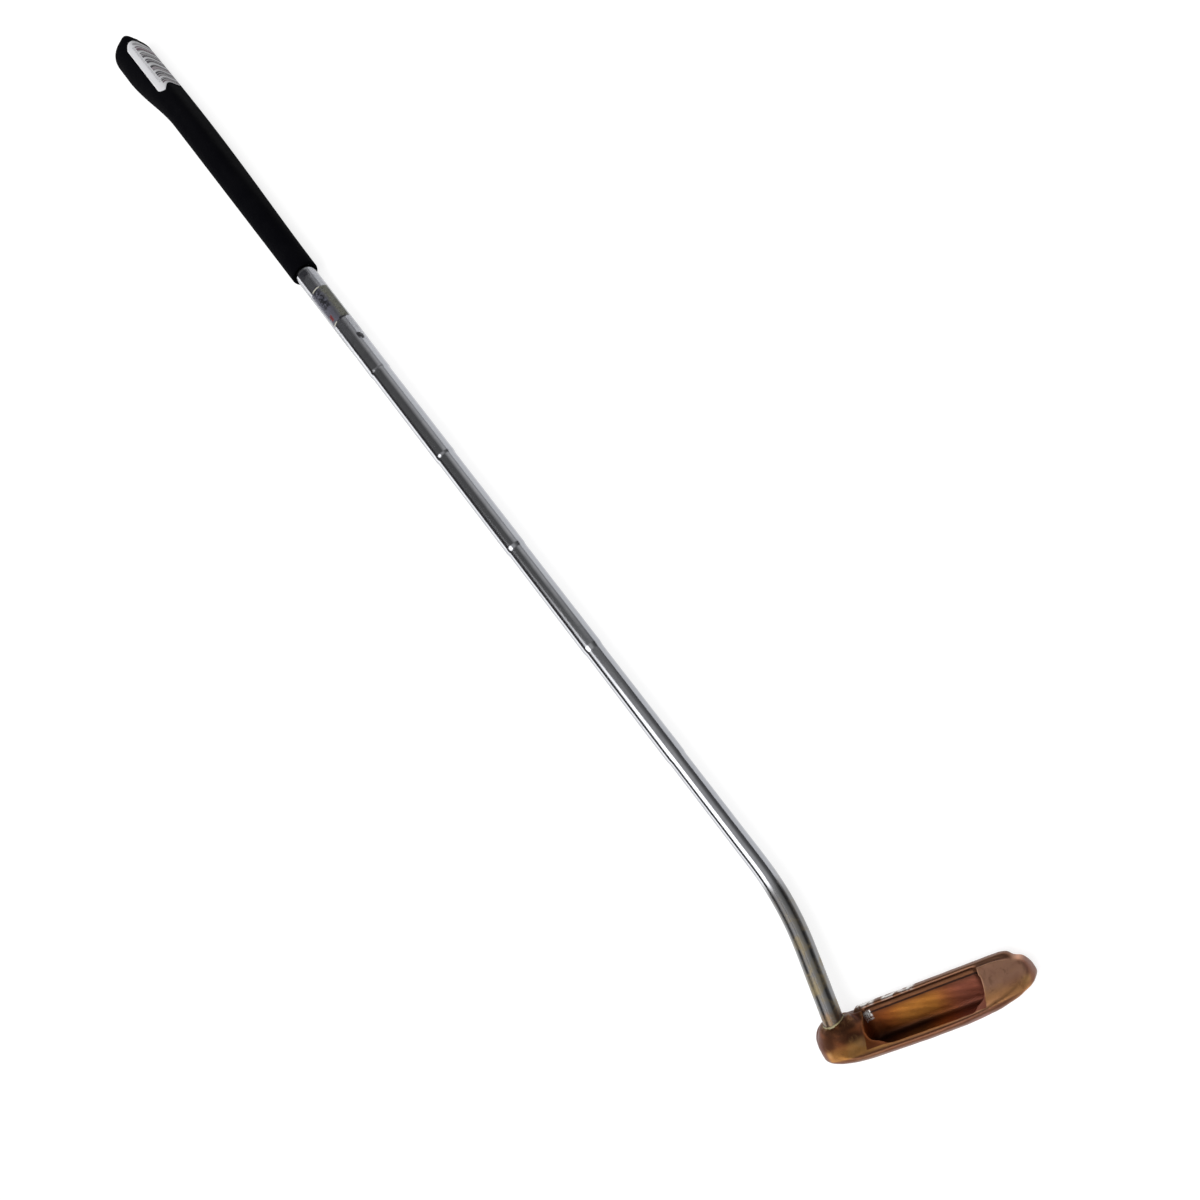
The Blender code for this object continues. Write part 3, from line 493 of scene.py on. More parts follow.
def makeHead(material):
    # the casting, rounded along its ridge and at its ends, then smoothed in and partly out again so
    # that its edges soften and its body keeps its size, and then smoothed inside the cavity
    rounding, smoothing, cavity = (headLooks[name] for name in ("rounding", "smoothing", "cavity"))
    piece = castSurface(nodes["putter_head"], "headCasting")
    points, normals, links = meshArrays(piece.data)
    share = rounding["share"] * roundingShare(toAddress(points))
    points = relax(points, links, share, rounding["passes"])
    for index in range(smoothing["passes"]):
        points = relax(points, links, smoothing["inwards"], 1)
        points = relax(points, links, smoothing["outwards"], 1)
    inside = blurred(cavityShare(toAddress(points), cavity["rim"]), links, cavity["blurPasses"])
    lined = blurred(cavityShare(toAddress(points), cavity["top"]), links, cavity["blurPasses"])
    points = relax(points, links, cavity["share"] * inside, cavity["passes"])
    # the file and the polishing wheel leave it slightly uneven: the mean of three crossed sine waves
    waves = np.sin(toAddress(points) @ np.array(headLooks["ripples"]).T).mean(axis=1)
    points += normals * (waves * headLooks["rippleHeight"] * mm)[:, None]
    mesh = piece.data
    mesh.vertices.foreach_set("co", points.ravel())
    mesh.update()
    mesh.shade_smooth()
    points, normals, links = meshArrays(mesh)
    # how far the mean of the neighbours lies below the surface: high on edges, negative in corners
    bulge = ((points - neighbourMean(points, links)) * normals).sum(axis=1, keepdims=True)
    bulge = blurred(bulge, links, headLooks["wearBlur"])[:, 0] / (headLooks["voxel"] * mm)
    storeShare(mesh, "edgeWear", bulge * headLooks["edgeWear"])
    # concave corners get painted shade, with some grime that also dulls the metal there
    storeShare(mesh, "cornerShadeAndGrime", -bulge * headLooks["cornerShadeAndGrime"])
    storeShare(mesh, "cavity", lined[:, 0])
    dress(piece, material, "putter_head")


def bronzePaint():
    looks = headLooks
    paint = Paint("agedBronze")
    place = paint.place(ways)
    x, y, z = paint.split(place)
    slant = x - looks["valleyTop"][0] - (looks["valleyTop"][1] - z) * looks["valleySlope"]
    at = spotShares({"x": x, "depth": 0 - y, "z": z, "slant": slant}, looks["places"])
    broad = paint.noise(place, 0.055, 3, 0.6, 0.6)
    patches = paint.noise(place, 0.22, 5, 0.6, 0.4)
    fine = paint.noise(place, 1.1, 6, 0.62)
    grain = paint.noise(place, 4.5, 4, 0.6)
    pits = paint.cells(place, 0.9).between(0.0, 0.32)
    wear = paint.attribute("edgeWear")
    grimeAndShade = paint.attribute("cornerShadeAndGrime")
    hollow = paint.attribute("cavity").between(0.2, 0.8)

    # the heel is umber above and golden below, the toe rosy above and golden below; the golden lower
    # part is partly painted light, where the slope flattens towards the flange and faces the light
    heel = paint.mix(at["low"] * (0.55 + 0.45 * patches), looks["umber"], looks["gold"])
    toe = paint.mix(at["low"] * 0.7, looks["rose"], looks["gold"])
    # the rail's upper edge is worn bright near the heel
    worn = (at["wornHeel"] + at["wornMiddle"]).atMost(1.0) * at["wornEdge"] * patches.between(0.36, 0.50)
    # edges are rubbed bright, but less on the dark places
    tips = at["toeTip"] + at["heelTip"]
    rubbed = wear * fine.between(0.3, 0.62) * (1 - 0.85 * (at["rail"] + at["rear"] + tips).atMost(1.0))
    # a bright scrape at the heel corner of the cavity, and two painted highlights at the ridge's ends
    scrape = at["scrape"] * fine.between(0.40, 0.56)
    spots = (at["heelGlint"] + at["toeGlint"]).atMost(1.0) * at["glintHeight"]
    # cavity: glowing wall with a painted golden highlight in its middle, redder at the toe end, with
    # painted shade under the rail and a painted shadow of the flange in the heel corner
    wall = paint.layers(
        looks, looks["glow"],
        # painted highlight: a pool of golden light in the middle of the wall
        (at["wallHighlight"] * (0.5 + 0.5 * fine), "glowHeart"),
        (at["wallToe"] * 0.85, "maroon"),
        (at["wallHeel"] * 0.45, "umber"),
        (grain.between(0.42, 0.62) * 0.35, "umber"),
        # painted shade under the rail, and a painted shadow line where the rail overhangs the wall
        (at["wallTop"] * 0.7, "shadow"),
        (at["railFoot"], "railWarm"),
        (at["railShadowLine"], "soot"),
    )
    # outside it painted shade darkens a valley that runs down the heel behind the socket, painted shadow
    # lies at the rail's heel end and low on the heel, painted light lies beside the cavity and partly on
    # the golden strip of the flange, and a coppery band lies on the sole behind it
    color = paint.layers(
        looks, paint.mix(at["towardsToe"], heel, toe),
        # painted shade: the concave valley behind the socket is darkened
        (at["valley"] * 0.7, "soot"),
        # painted shadow at the heel end of the rail
        (at["shoulder"] * 0.9, "shadow"),
        # painted light: paler gold beside the heel end of the cavity
        (at["litBesideCavity"] * 0.85, "paleGold"),
        (patches.between(0.56, 0.74) * 0.30, "paleGold"),
        (patches.between(0.46, 0.28) * 0.45, "umber"),
        (broad.between(0.50, 0.68) * 0.35, "maroon"),
        # the flange strip's gold is partly its own colour and partly painted light where it faces up
        (at["strip"] * (0.5 + 0.4 * fine), "gold"),
        (at["strip"] * at["stripToe"] * 0.6, "rose"),
        (at["rear"] * 0.85, "copper"),
        (at["rail"] * 0.88, "railBrown"),
        (tips * 0.8, "copper"),
        # painted shade low on the heel end
        (at["heelShadowPatch"] * 0.65, "shadow"),
        (worn, "silver"),
    )
    color = paint.layers(
        looks, paint.mix(hollow, color, wall),
        # painted shadow of the flange in the cavity's heel corner
        (hollow * at["flangeShadowCorner"] * 0.92, "soot"),
        # painted shade with some grime in the corners
        (grimeAndShade * (0.35 + 0.6 * patches), "soot"),
        (rubbed * 0.35, "paleGold"),
        (scrape, "silver"),
        # the two painted highlights at the ridge's ends
        (spots * 0.6, "paleGold"),
        (grain.between(0.50, 0.75) * 0.35, "umber"),
    )
    rough = 0.30 + 0.16 * patches + 0.14 * fine + 0.14 * grimeAndShade - 0.08 * wear - 0.15 * scrape
    relief = 0.5 * fine + 0.35 * grain + 0.2 * pits
    return paint.finish(BaseColor=color, Metallic=0.9 - 0.3 * grimeAndShade, Roughness=rough,
                        Normal=paint.bump(relief, 0.11))


# Shaft

# the places of the marks are along it in millimetres from the socket, and around it in shares of a turn
shaftLooks = {
    "buttRadius": 7.35,
    "stepDrop": 0.375,
    "stepCount": 5,
    "stepSpacing": 80.9,
    "firstStep": 385.0,
    "stepLength": 3.6,
    "insertRadius": 4.7,
    "shoulderDepth": 3.4,
    "shoulderLength": 0.6,
    "shoulderMargin": 0.2,
    "wall": 0.6,
    "capThickness": 3.2,
    "sides": 96,
    "stationGap": 3.0,
    "stepRows": 17,
    "shoulderRows": 8,
    "innerThinning": 4,
    "steel": (0.53, 0.535, 0.56),
    "shade": (0.36, 0.37, 0.40),
    "dull": (0.21, 0.21, 0.21),
    "smudge": (0.055, 0.052, 0.052),
    "tarnish": (0.30, 0.23, 0.11),
    "rust": (0.20, 0.11, 0.05),
    "places": {
        "tarnish": {"along": (95, 18)},
        "dull": {"along": (78, 66)},
        "rust": {"along": (7, 2)},
        "nearSmudge": {"around": (0.95, 0.06, 0.04)},
        "farSmudge": {"around": (0.11, 0.02, 0.03)},
        "farSideShade": {"around": (0.155, 0.045, 0.025)},
    },
}
tipRadius = shaftLooks["buttRadius"] - shaftLooks["stepCount"] * shaftLooks["stepDrop"]
stepMarks = clubEnd - shaftLooks["firstStep"]
stepMarks = stepMarks - shaftLooks["stepSpacing"] * np.arange(shaftLooks["stepCount"])


def shaftRadius(distance):
    # the tip's radius, plus one drop for each step passed on the way up
    passed = ease((distance[:, None] - stepMarks) / shaftLooks["stepLength"] + 0.5)
    radius = tipRadius + shaftLooks["stepDrop"] * passed.sum(axis=1)
    shoulder = ease((distance + shaftLooks["shoulderDepth"]) / shaftLooks["shoulderLength"])
    return shaftLooks["insertRadius"] + (radius - shaftLooks["insertRadius"]) * shoulder


def makeShaft(material):
    # a profile carried along the axis: up the outside with close rows at the steps and the
    # shoulder, and down the inside with fewer rows, one wall further in
    looks = shaftLooks
    low = club["bondGap"] - club["socketDepth"]
    high = clubEnd - looks["capThickness"]
    even = np.linspace(low, high, int((high - low) / looks["stationGap"]))
    close = np.linspace(-1, 1, looks["stepRows"]) * looks["stepLength"]
    margin = looks["shoulderMargin"]
    shoulder = np.linspace(-margin, looks["shoulderLength"] + margin, looks["shoulderRows"])
    shoulder = shoulder - looks["shoulderDepth"]
    outer = np.unique(np.concatenate([even, (stepMarks[:, None] + close).ravel(), shoulder]))
    distance = np.concatenate([outer, outer[::-looks["innerThinning"]]])
    radii = shaftRadius(distance) - np.where(np.arange(len(distance)) < len(outer), 0, looks["wall"])
    places, forward = shaftLine(distance)
    second = np.cross(forward, bendNormal)
    grid = toWorld(ringGrid(places, bendNormal, second, radii, looks["sides"]))
    piece = surfaceMesh("shaftTube", grid, closed=True, along=distance)
    dress(piece, material, "shaft")


def chromePaint():
    looks = shaftLooks
    paint = Paint("wornChrome")
    around, along = paint.surfacePlace()
    place = paint.place(shaftWays)
    drawn = paint.noise(paint.stretch(place, (1.0, 1.0, 0.02)), 1.6, 5, 0.65)
    scratches = paint.noise(paint.stretch(place, (1.0, 1.0, 0.11)), 3.2, 3, 0.7, 0.8)
    clouds = paint.noise(place, 0.11, 5, 0.62, 0.4)
    specks = paint.noise(place, 1.3, 5, 0.7)
    at = spotShares({"around": around, "along": along}, looks["places"])
    tarnish = at["tarnish"] * clouds.between(0.42, 0.66) * (0.35 + 0.65 * specks)
    smudge = at["dull"] * (at["nearSmudge"] + at["farSmudge"]).atMost(1.0)
    rust = at["rust"] * specks.between(0.3, 0.6)
    color = paint.layers(
        looks, looks["steel"],
        (clouds.between(0.35, 0.72) * 0.45, "shade"),
        # painted shade along the far side, darkening what the shaft mirrors there
        (at["farSideShade"] * 0.75, "shade"),
        (at["dull"] * 0.8, "dull"),
        (smudge * 0.8, "smudge"),
        (specks.between(0.60, 0.72) * 0.45, "shade"),
        (tarnish, "tarnish"),
        (rust * 0.7, "rust"),
    )
    rough = 0.07 + 0.10 * clouds + 0.10 * drawn * drawn + 0.2 * tarnish
    rough = rough + 0.12 * scratches.between(0.6, 0.74) + 0.16 * at["dull"]
    relief = 0.6 * drawn + 0.25 * scratches.between(0.5, 0.75) + 0.3 * specks
    return paint.finish(BaseColor=color, Metallic=1.0 - 0.35 * tarnish, Roughness=rough,
                        Normal=paint.bump(relief, 0.012))


# Grip

# a station is a distance from the butt, and a rubber is the thickness over the shaft on that side,
# where the hook's comes on top of the palm's
gripLooks = {
    "length": 282.0,
    "boreRadius": 8.1,
    "capThickness": 3.2,
    "capRound": 9.0,
    "ventRadius": 1.4,
    "ventStation": 0.4,
    "boreStations": (169.2, 60.0),
    "mouthWall": 1.6,
    "mouthRound": 1.2,
    "thumbRubber": 3.4,
    "thumbEndRubber": 1.28,
    "thumbStation": 118.0,
    "palmRubber": 2.68,
    "hookRubber": 8.4,
    "hookStation": 25.0,
    "hookLength": 100.0,
    "sideRubber": 4.6,
    "sideStation": 30.0,
    "squareness": 2.2,
    "endShare": 0.55,
    "palmEndShare": 0.30,
    "sides": 144,
    "rows": 190,
    "capRows": 16,
    "lipRows": 10,
    "endRows": 8,
    "black": (0.0018, 0.0018, 0.0028),
    "dust": (0.0045, 0.0045, 0.0055),
}


def gripReach(distance):
    # reach of the thumb side and of the palm side from the axis, and half width, at distances
    # from the end: the thumb side swells and thins, the palm side has the hook near the end
    grip = gripLooks
    butt = shaftLooks["buttRadius"]
    mouth = grip["boreRadius"] + grip["mouthWall"]
    beyond = distance > grip["thumbStation"]
    swell = np.sin(np.pi / 2 * np.minimum(distance / grip["thumbStation"], 1))
    thin = 1 - easeBetween(distance, (grip["thumbStation"], grip["length"]))
    start = np.where(distance < grip["thumbStation"], butt + grip["thumbEndRubber"], mouth)
    thumb = start + (butt + grip["thumbRubber"] - start) * np.where(beyond, thin, swell)
    hook = 1 - easeBetween(distance, (grip["hookStation"], grip["hookLength"]))
    palm = mouth + (butt + grip["palmRubber"] - mouth) * (1 - distance / grip["length"])
    palm = palm + grip["hookRubber"] * hook
    taper = 1 - easeBetween(distance, (grip["sideStation"], grip["length"]))
    width = mouth + (butt + grip["sideRubber"] - mouth) * taper
    return thumb, palm, width


def gripSection(distance, turn, swell):
    # x and y of each point of a section: a superellipse towards the thumb, an ellipse towards the
    # palm, drawn in at the rounded end; swell pushes the surface outwards
    thumb, palm, width = (reach[:, None] for reach in gripReach(distance))
    grip = gripLooks
    dome = np.sqrt(1 - np.clip(1 - distance / grip["capRound"], 0, 1) ** 2)[:, None]
    flat = 1 - easeBetween(distance, (grip["thumbStation"], grip["length"]))
    power = (2 / (2 + grip["squareness"] * flat))[:, None]
    out, sideways = np.sin(turn), np.cos(turn)
    flatEnd = grip["endShare"] - grip["palmEndShare"] * np.minimum(out, 0)
    cap = flatEnd + (1 - flatEnd) * dome
    square = np.where(out > 0, power, 1.0)
    x = np.where(out > 0, thumb, palm) * np.sign(out) * np.abs(out) ** square * cap
    y = width * np.sign(sideways) * np.abs(sideways) ** square * cap
    # the lip at the mouth is rounded over: it draws in as a quarter circle
    lip = np.clip((distance - grip["length"]) / grip["mouthRound"] + 1, 0, 1)
    swell = swell - grip["mouthRound"] * (1 - np.sqrt(1 - lip ** 2))[:, None]
    size = np.hypot(x, y)
    return x * (1 + swell / size), y * (1 + swell / size)


def gripFrame(x, y, distance):
    # from the section's own two directions and the distance from the end, to the table
    end = shaftLine(np.array([clubEnd]))[0][0]
    sideways = x[:, :, None] * thumbOut + y[:, :, None] * gripSide
    return toWorld(end + sideways - distance[:, None, None] * shaftUp)


def makeGrip(material):
    # rows from the middle of the flat end out and over the cap, down to the lip, and back inside
    # through the bore and the air hole, which closes the surface
    grip = gripLooks
    turn = np.arange(grip["sides"]) / grip["sides"] * 2 * np.pi
    cap = grip["capRound"] * (1 - np.cos(np.linspace(0, np.pi / 2, grip["capRows"])[:-1]))
    lip = grip["length"] - grip["mouthRound"] * (1 - np.sin(np.linspace(0, np.pi / 2, grip["lipRows"])))
    body = np.linspace(grip["capRound"], lip[0], grip["rows"])[:-1]
    outerRows = np.concatenate([cap, body, lip])
    outer = np.stack(gripSection(outerRows, turn, 0.0))
    share = np.linspace(0, 1, grip["endRows"])[:-1, None]
    hole = grip["ventRadius"]
    ring = np.stack([np.sin(turn), np.cos(turn)])[:, None, :]
    end = ring * hole * (1 - share) + outer[:, :1] * share
    wall = grip["capThickness"]
    insideRows = np.array([grip["length"], *grip["boreStations"], wall, wall, grip["ventStation"]])
    insideRadii = np.array([grip["boreRadius"]] * 4 + [hole, hole])
    inside = insideRadii[:, None] * ring
    rows = np.concatenate([np.zeros(len(share)), outerRows, insideRows])
    x, y = np.concatenate([end, outer, inside], axis=1)
    piece = surfaceMesh("gripSleeve", gripFrame(x, y, rows), closed=True, along=rows)
    dress(piece, material, "grip")


def rubberPaint():
    paint = Paint("blackRubber")
    place = paint.place(shaftWays)
    pebble = paint.cells(place, 1.35, "SMOOTH_F1")
    fine = paint.noise(place, 2.6, 5, 0.65)
    worn = paint.noise(place, 0.05, 4, 0.6)
    dusty = worn.between(0.4, 0.75) * fine.between(0.35, 0.7)
    color = paint.mix(dusty, gripLooks["black"], gripLooks["dust"])
    rough = 0.80 + 0.14 * fine - 0.08 * worn.between(0.55, 0.8)
    return paint.finish(BaseColor=color, Roughness=rough, Specular=0.03,
                        Normal=paint.bump(0.6 * pebble + 0.4 * fine, 0.09))


# Sticker on the grip

# the places of its bars and ticks are across in shares of its width, and along in millimetres
stickerLooks = {
    "start": 12.0,
    "length": 55.5,
    "lag": 2.6,
    "stretch": 7.0,
    "first": 72.0,
    "last": 179.0,
    "lift": 0.22,
    "thickness": 0.12,
    "corner": 4.6,
    "rubberBelow": 3,
    "rows": 90,
    "columns": 60,
    "groupLength": 8.2,
    "paper": (0.68, 0.68, 0.70),
    "ink": (0.030, 0.028, 0.036),
    "plum": (0.13, 0.065, 0.09),
    "grey": (0.26, 0.26, 0.28),
    "places": {
        "barsFrom": {"across": (0.02, 0.04)},
        "bars": {"across": (0.66, 0.64), "along": (28, 24.5, 0.4)},
        "ticks": {"across": (0.75, 0.045, 0.02), "along": (28, 21, 1.0)},
    },
}


def makeSticker(material):
    # a rectangle with round corners, stuck on a little askew: near each end of its length the rows
    # get shorter, as a quarter circle does, each row runs round the grip's own section, and the
    # edge on the palm side lags behind and is a little longer
    looks = stickerLooks
    bias = np.sin(np.linspace(-np.pi / 2, np.pi / 2, looks["rows"]))
    along = looks["start"] + looks["length"] * (bias + 1) / 2
    fromEnd = np.minimum(along - looks["start"], looks["start"] + looks["length"] - along)
    cut = 1 - np.sqrt(1 - np.clip(1 - fromEnd / looks["corner"], 0, 1) ** 2)
    middle = math.radians(looks["first"] + looks["last"]) / 2
    half = math.radians(looks["last"] - looks["first"]) / 2
    arcLength = 2 * half * (shaftLooks["buttRadius"] + looks["rubberBelow"])
    reach = 1 - 2 * looks["corner"] * cut / arcLength
    across = np.linspace(-1, 1, looks["columns"])
    share = ((along - looks["start"]) / looks["length"])[:, None]
    palmShare = (across + 1) / 2
    turns = middle + half * reach[:, None] * across
    distance = along[:, None] + palmShare * (looks["lag"] + looks["stretch"] * share)
    x, y = gripSection(distance.ravel(), turns.reshape(-1, 1), looks["lift"])
    grid = gripFrame(x, y, distance.ravel()).reshape(looks["rows"], looks["columns"], 3)
    piece = surfaceMesh("gripLabel", grid, along=along - looks["start"])
    paper = piece.modifiers.new("paper", "SOLIDIFY")
    paper.thickness = looks["thickness"] * mm
    paper.offset = 1.0
    dress(piece, material, "grip_sticker")


def stickerPaint():
    looks = stickerLooks
    paint = Paint("barredPaper")
    across, along = paint.surfacePlace()
    at = spotShares({"across": across, "along": along}, looks["places"])
    fiber = paint.noise(paint.place(ways), 2.2, 5, 0.6)
    # plain bars of unlike widths in seven groups, on the part that is bent over the grip's edge
    lineUp = paint.join(along, 0.0, 0.0)
    thin = paint.noise(lineUp, 1.15, 1, 0.5).between(0.46, 0.50)
    thick = paint.noise(lineUp, 0.55, 0, 0.5).between(0.52, 0.55)
    groups = (along * (2 * math.pi / looks["groupLength"])).sine().between(-0.72, -0.55)
    bars = thin.atLeast(thick) * groups * at["barsFrom"] * at["bars"]
    plum = paint.noise(lineUp, 0.16, 2, 0.5).between(0.48, 0.60)
    # and a row of small grey ticks beside them
    ticks = paint.noise(paint.join(across * 26, along * 1.1, 0.0), 1.4, 2, 0.6).between(0.47, 0.54)
    color = paint.layers(
        looks, looks["paper"],
        (fiber.between(0.3, 0.8) * 0.14, "grey"),
        (at["ticks"] * ticks * 0.8, "grey"),
    )
    color = paint.mix(bars, color, paint.mix(plum, looks["ink"], looks["plum"]))
    return paint.finish(BaseColor=color, Roughness=0.42 + 0.2 * fiber, Normal=paint.bump(fiber, 0.015))


# Worn band of film below the grip

# The places of its rags are down the shaft in millimetres from the band's upper end, and around it in
# shares of a turn; a drop is how much lower a slanted rag lies one turn on
bandLooks = {
    "start": 285.0,
    "length": 84.0,
    "radius": 7.5,
    "thickness": 0.10,
    "sides": 96,
    "rows": 120,
    "black": (0.010, 0.010, 0.014),
    "glaze": (0.13, 0.13, 0.15),
    "slate": (0.13, 0.13, 0.165),
    "olive": (0.19, 0.19, 0.15),
    "red": (0.13, 0.012, 0.012),
    "cream": (0.50, 0.49, 0.42),
    "tiltMiddle": 0.80,
    "tiltDrop": -6,
    "chipMiddle": 0.92,
    "chipDrop": 25,
    "places": {
        "keptFrom": {"tilted": (19.0, 19.8)},
        "keptTo": {"tilted": (51.2, 50.4)},
        "olive": {"raggedTurn": (0.845, 0.895)},
        "slate": {"tornTurn": (0.88, 0.80), "around": (0.64, 0.70)},
        "blots": {"tilted": (28, 8.5, 3), "around": (0.785, 0.035, 0.045)},
        "topEdge": {"tilted": (19.4, 0.35, 0.3), "around": (0.80, 0.055, 0.02)},
        "lowEdge": {"tilted": (50.8, 0.35, 0.3), "around": (0.725, 0.035, 0.01)},
        "crack": {"tilted": (50.6, 0.5, 0.4), "around": (0.88, 0.05, 0.02)},
        "patch": {"tilted": (45.5, 1.8, 1.4), "around": (0.733, 0.014, 0.018)},
        "chip": {"slanted": (70, 1.9, 0.8), "around": (0.925, 0.03, 0.02)},
        "remains": {"torn": (5.6, 4.8), "around": (0.79, 0.05, 0.05)},
        "crumbsFrom": {"down": (50, 54)},
        "crumbsTo": {"down": (66, 60)},
        "haze": {"down": (84, 60)},
    },
}

def makeBand(material):
    # two nested tubes joined at their ends: down the outside and back up the inside
    looks = bandLooks
    rows = np.linspace(looks["start"], looks["start"] + looks["length"], looks["rows"])
    rows = np.concatenate([rows, rows[::-1]])
    radii = np.repeat([looks["radius"] + looks["thickness"], looks["radius"]], looks["rows"])
    places = shaftLine(clubEnd - rows)[0]
    grid = toWorld(ringGrid(places, thumbOut, gripSide, radii, looks["sides"]))
    piece = surfaceMesh("filmBand", grid, closed=True, along=rows)
    dress(piece, material, "shaft_band")


def bandPaint():
    looks = bandLooks
    paint = Paint("wornFilm")
    around, along = paint.surfacePlace()
    place = paint.place(shaftWays)
    ragged = paint.noise(place, 0.55, 5, 0.65)
    fine = paint.noise(place, 1.6, 5, 0.65)
    # the best kept part is tilted, a chip is slanted, and torn edges follow the ragged noise
    down = along - looks["start"]
    tear = ragged - 0.5
    axes = {
        "around": around,
        "down": down,
        "tilted": down - (around - looks["tiltMiddle"]) * looks["tiltDrop"],
        "slanted": down - (around - looks["chipMiddle"]) * looks["chipDrop"] + tear * 9,
        "torn": down + tear * 12,
        "raggedTurn": around + tear * 0.16,
        "tornTurn": around + tear * 0.2,
    }
    at = spotShares(axes, looks["places"])
    kept = at["keptFrom"] * at["keptTo"]
    olive = kept * at["olive"]
    slate = kept * at["slate"]
    blots = at["blots"] * ragged.between(0.45, 0.48)
    crack = at["crack"] * fine.between(0.38, 0.46)
    edges = (at["topEdge"] + at["lowEdge"]).atMost(1.0) * ragged.between(0.36, 0.42)
    patch = at["patch"] * ragged.between(0.36, 0.46)
    remains = at["remains"] * fine.between(0.44, 0.50)
    crumbs = at["crumbsFrom"] * at["crumbsTo"] * fine.between(0.60, 0.66) * 0.6
    dark = (blots + at["chip"] + remains + crumbs + crack).atMost(1.0)
    color = paint.layers(
        looks, looks["glaze"],
        (slate, "slate"),
        (olive, "olive"),
        (dark, "black"),
        (edges, "cream"),
        (patch, "red"),
    )
    cover = at["haze"] * 0.10 * ragged + 0.5 * slate + 0.55 * olive + dark + edges + patch
    cover = cover.atMost(1.0)
    return paint.finish(BaseColor=color, Roughness=0.32 + 0.3 * fine, Alpha=cover,
                        Normal=paint.bump(fine, 0.02))


# Epoxy with its bead round the shaft

epoxyLooks = {
    "bead": 0.34,
    "beadSpread": 0.8,
    "beadSink": 0.35,
    "gap": 0.05,
    "wall": 0.8,
    "belowShoulder": 0.6,
    "flare": 0.9,
    "bossSlope": 0.2,
    "sides": 96,
    "rows": 14,
    "resin": (0.22, 0.17, 0.08),
    "cloudy": (0.42, 0.37, 0.20),
}


def makeEpoxy(material):
    # a sleeve that fills the socket round the tip, with a low round bead on top where it was
    # squeezed out; the bead follows the top of the boss, which slopes back behind the shaft
    looks = epoxyLooks
    turn = np.arange(looks["sides"]) / looks["sides"] * 2 * np.pi
    second = unit(np.cross(tipUp, [1.0, 0.0, 0.0]))
    first = np.cross(second, tipUp)
    spoke = first * np.cos(turn)[:, None] + second * np.sin(turn)[:, None]
    behind = np.maximum(-(spoke[:, 1] * tipRadius), 0)
    fall = (-looks["bossSlope"] * behind - spoke[:, 2] * tipRadius) / tipUp[2]
    arcTurn = np.linspace(np.pi, 0, looks["rows"])
    beadRadii = tipRadius + looks["gap"] + looks["bead"] * (1 + np.cos(arcTurn)) * looks["beadSpread"]
    beadHeights = looks["bead"] * (np.sin(arcTurn) - looks["beadSink"])
    low = club["bondGap"] - club["socketDepth"]
    insert = shaftLooks["insertRadius"] + looks["gap"]
    shoulder = -shaftLooks["shoulderDepth"] - looks["belowShoulder"]
    radii = np.concatenate([[insert, insert, tipRadius + looks["gap"]], beadRadii,
                            [insert + looks["wall"]] * 2])
    heights = np.concatenate([[low, shoulder, shoulder + looks["flare"]], beadHeights, [shoulder, low]])
    follow = np.concatenate([[0, 0, 0], np.ones(looks["rows"]), [0, 0]])
    rise = heights[:, None] + follow[:, None] * fall[None, :]
    grid = socketMouth + radii[:, None, None] * spoke[None, :, :] + rise[:, :, None] * tipUp
    piece = surfaceMesh("epoxyBead", toWorld(grid), closed=True)
    dress(piece, material, "socket_epoxy")


def resinPaint():
    paint = Paint("setResin")
    place = paint.place(ways)
    cloud = paint.noise(place, 0.5, 4, 0.6)
    fine = paint.noise(place, 2.5, 4, 0.6)
    color = paint.mix(cloud.between(0.3, 0.7), epoxyLooks["resin"], epoxyLooks["cloudy"])
    color = paint.mix(fine.between(0.6, 0.7) * 0.5, color, headLooks["umber"])
    return paint.finish(BaseColor=color, Roughness=0.3 + 0.2 * fine, Normal=paint.bump(cloud, 0.08))


# Finishes of the two pieces that keep their own shape, both hidden inside

innerLooks = {
    "tape": (0.60, 0.53, 0.38),
    "tapeDark": (0.40, 0.33, 0.22),
    "nylon": (0.72, 0.71, 0.67),
    "nylonDark": (0.55, 0.53, 0.48),
}


def tapePaint():
    paint = Paint("crepeTape")
    place = paint.place(shaftWays)
    crepe = paint.noise(paint.stretch(place, (0.3, 0.3, 1.0)), 2.4, 4, 0.6)
    stain = paint.noise(place, 0.12, 4, 0.6)
    color = paint.mix(stain.between(0.35, 0.7) * 0.7, innerLooks["tape"], innerLooks["tapeDark"])
    return paint.finish(BaseColor=color, Roughness=0.7 + 0.2 * crepe, Normal=paint.bump(crepe, 0.08))


def nylonPaint():
    paint = Paint("mouldedNylon")
    place = paint.place(ways)
    cloud = paint.noise(place, 0.4, 3, 0.5)
    fine = paint.noise(place, 3.0, 4, 0.6)
    color = paint.mix(cloud.between(0.3, 0.8) * 0.5, innerLooks["nylon"], innerLooks["nylonDark"])
    return paint.finish(BaseColor=color, Roughness=0.42 + 0.15 * fine, Normal=paint.bump(fine, 0.03))


def refinish(nodeName, material):
    # gives a node that keeps its own shape a new material
    for slot in nodes[nodeName].material_slots:
        slot.material = material


# Stage

stageLooks = {
    "floorColor": 0.28,
    "floorPatch": 1.01,
    "floorGlow": 0.80,
    "floorHalf": 6.0,
    "floorDrop": 0.02,
}

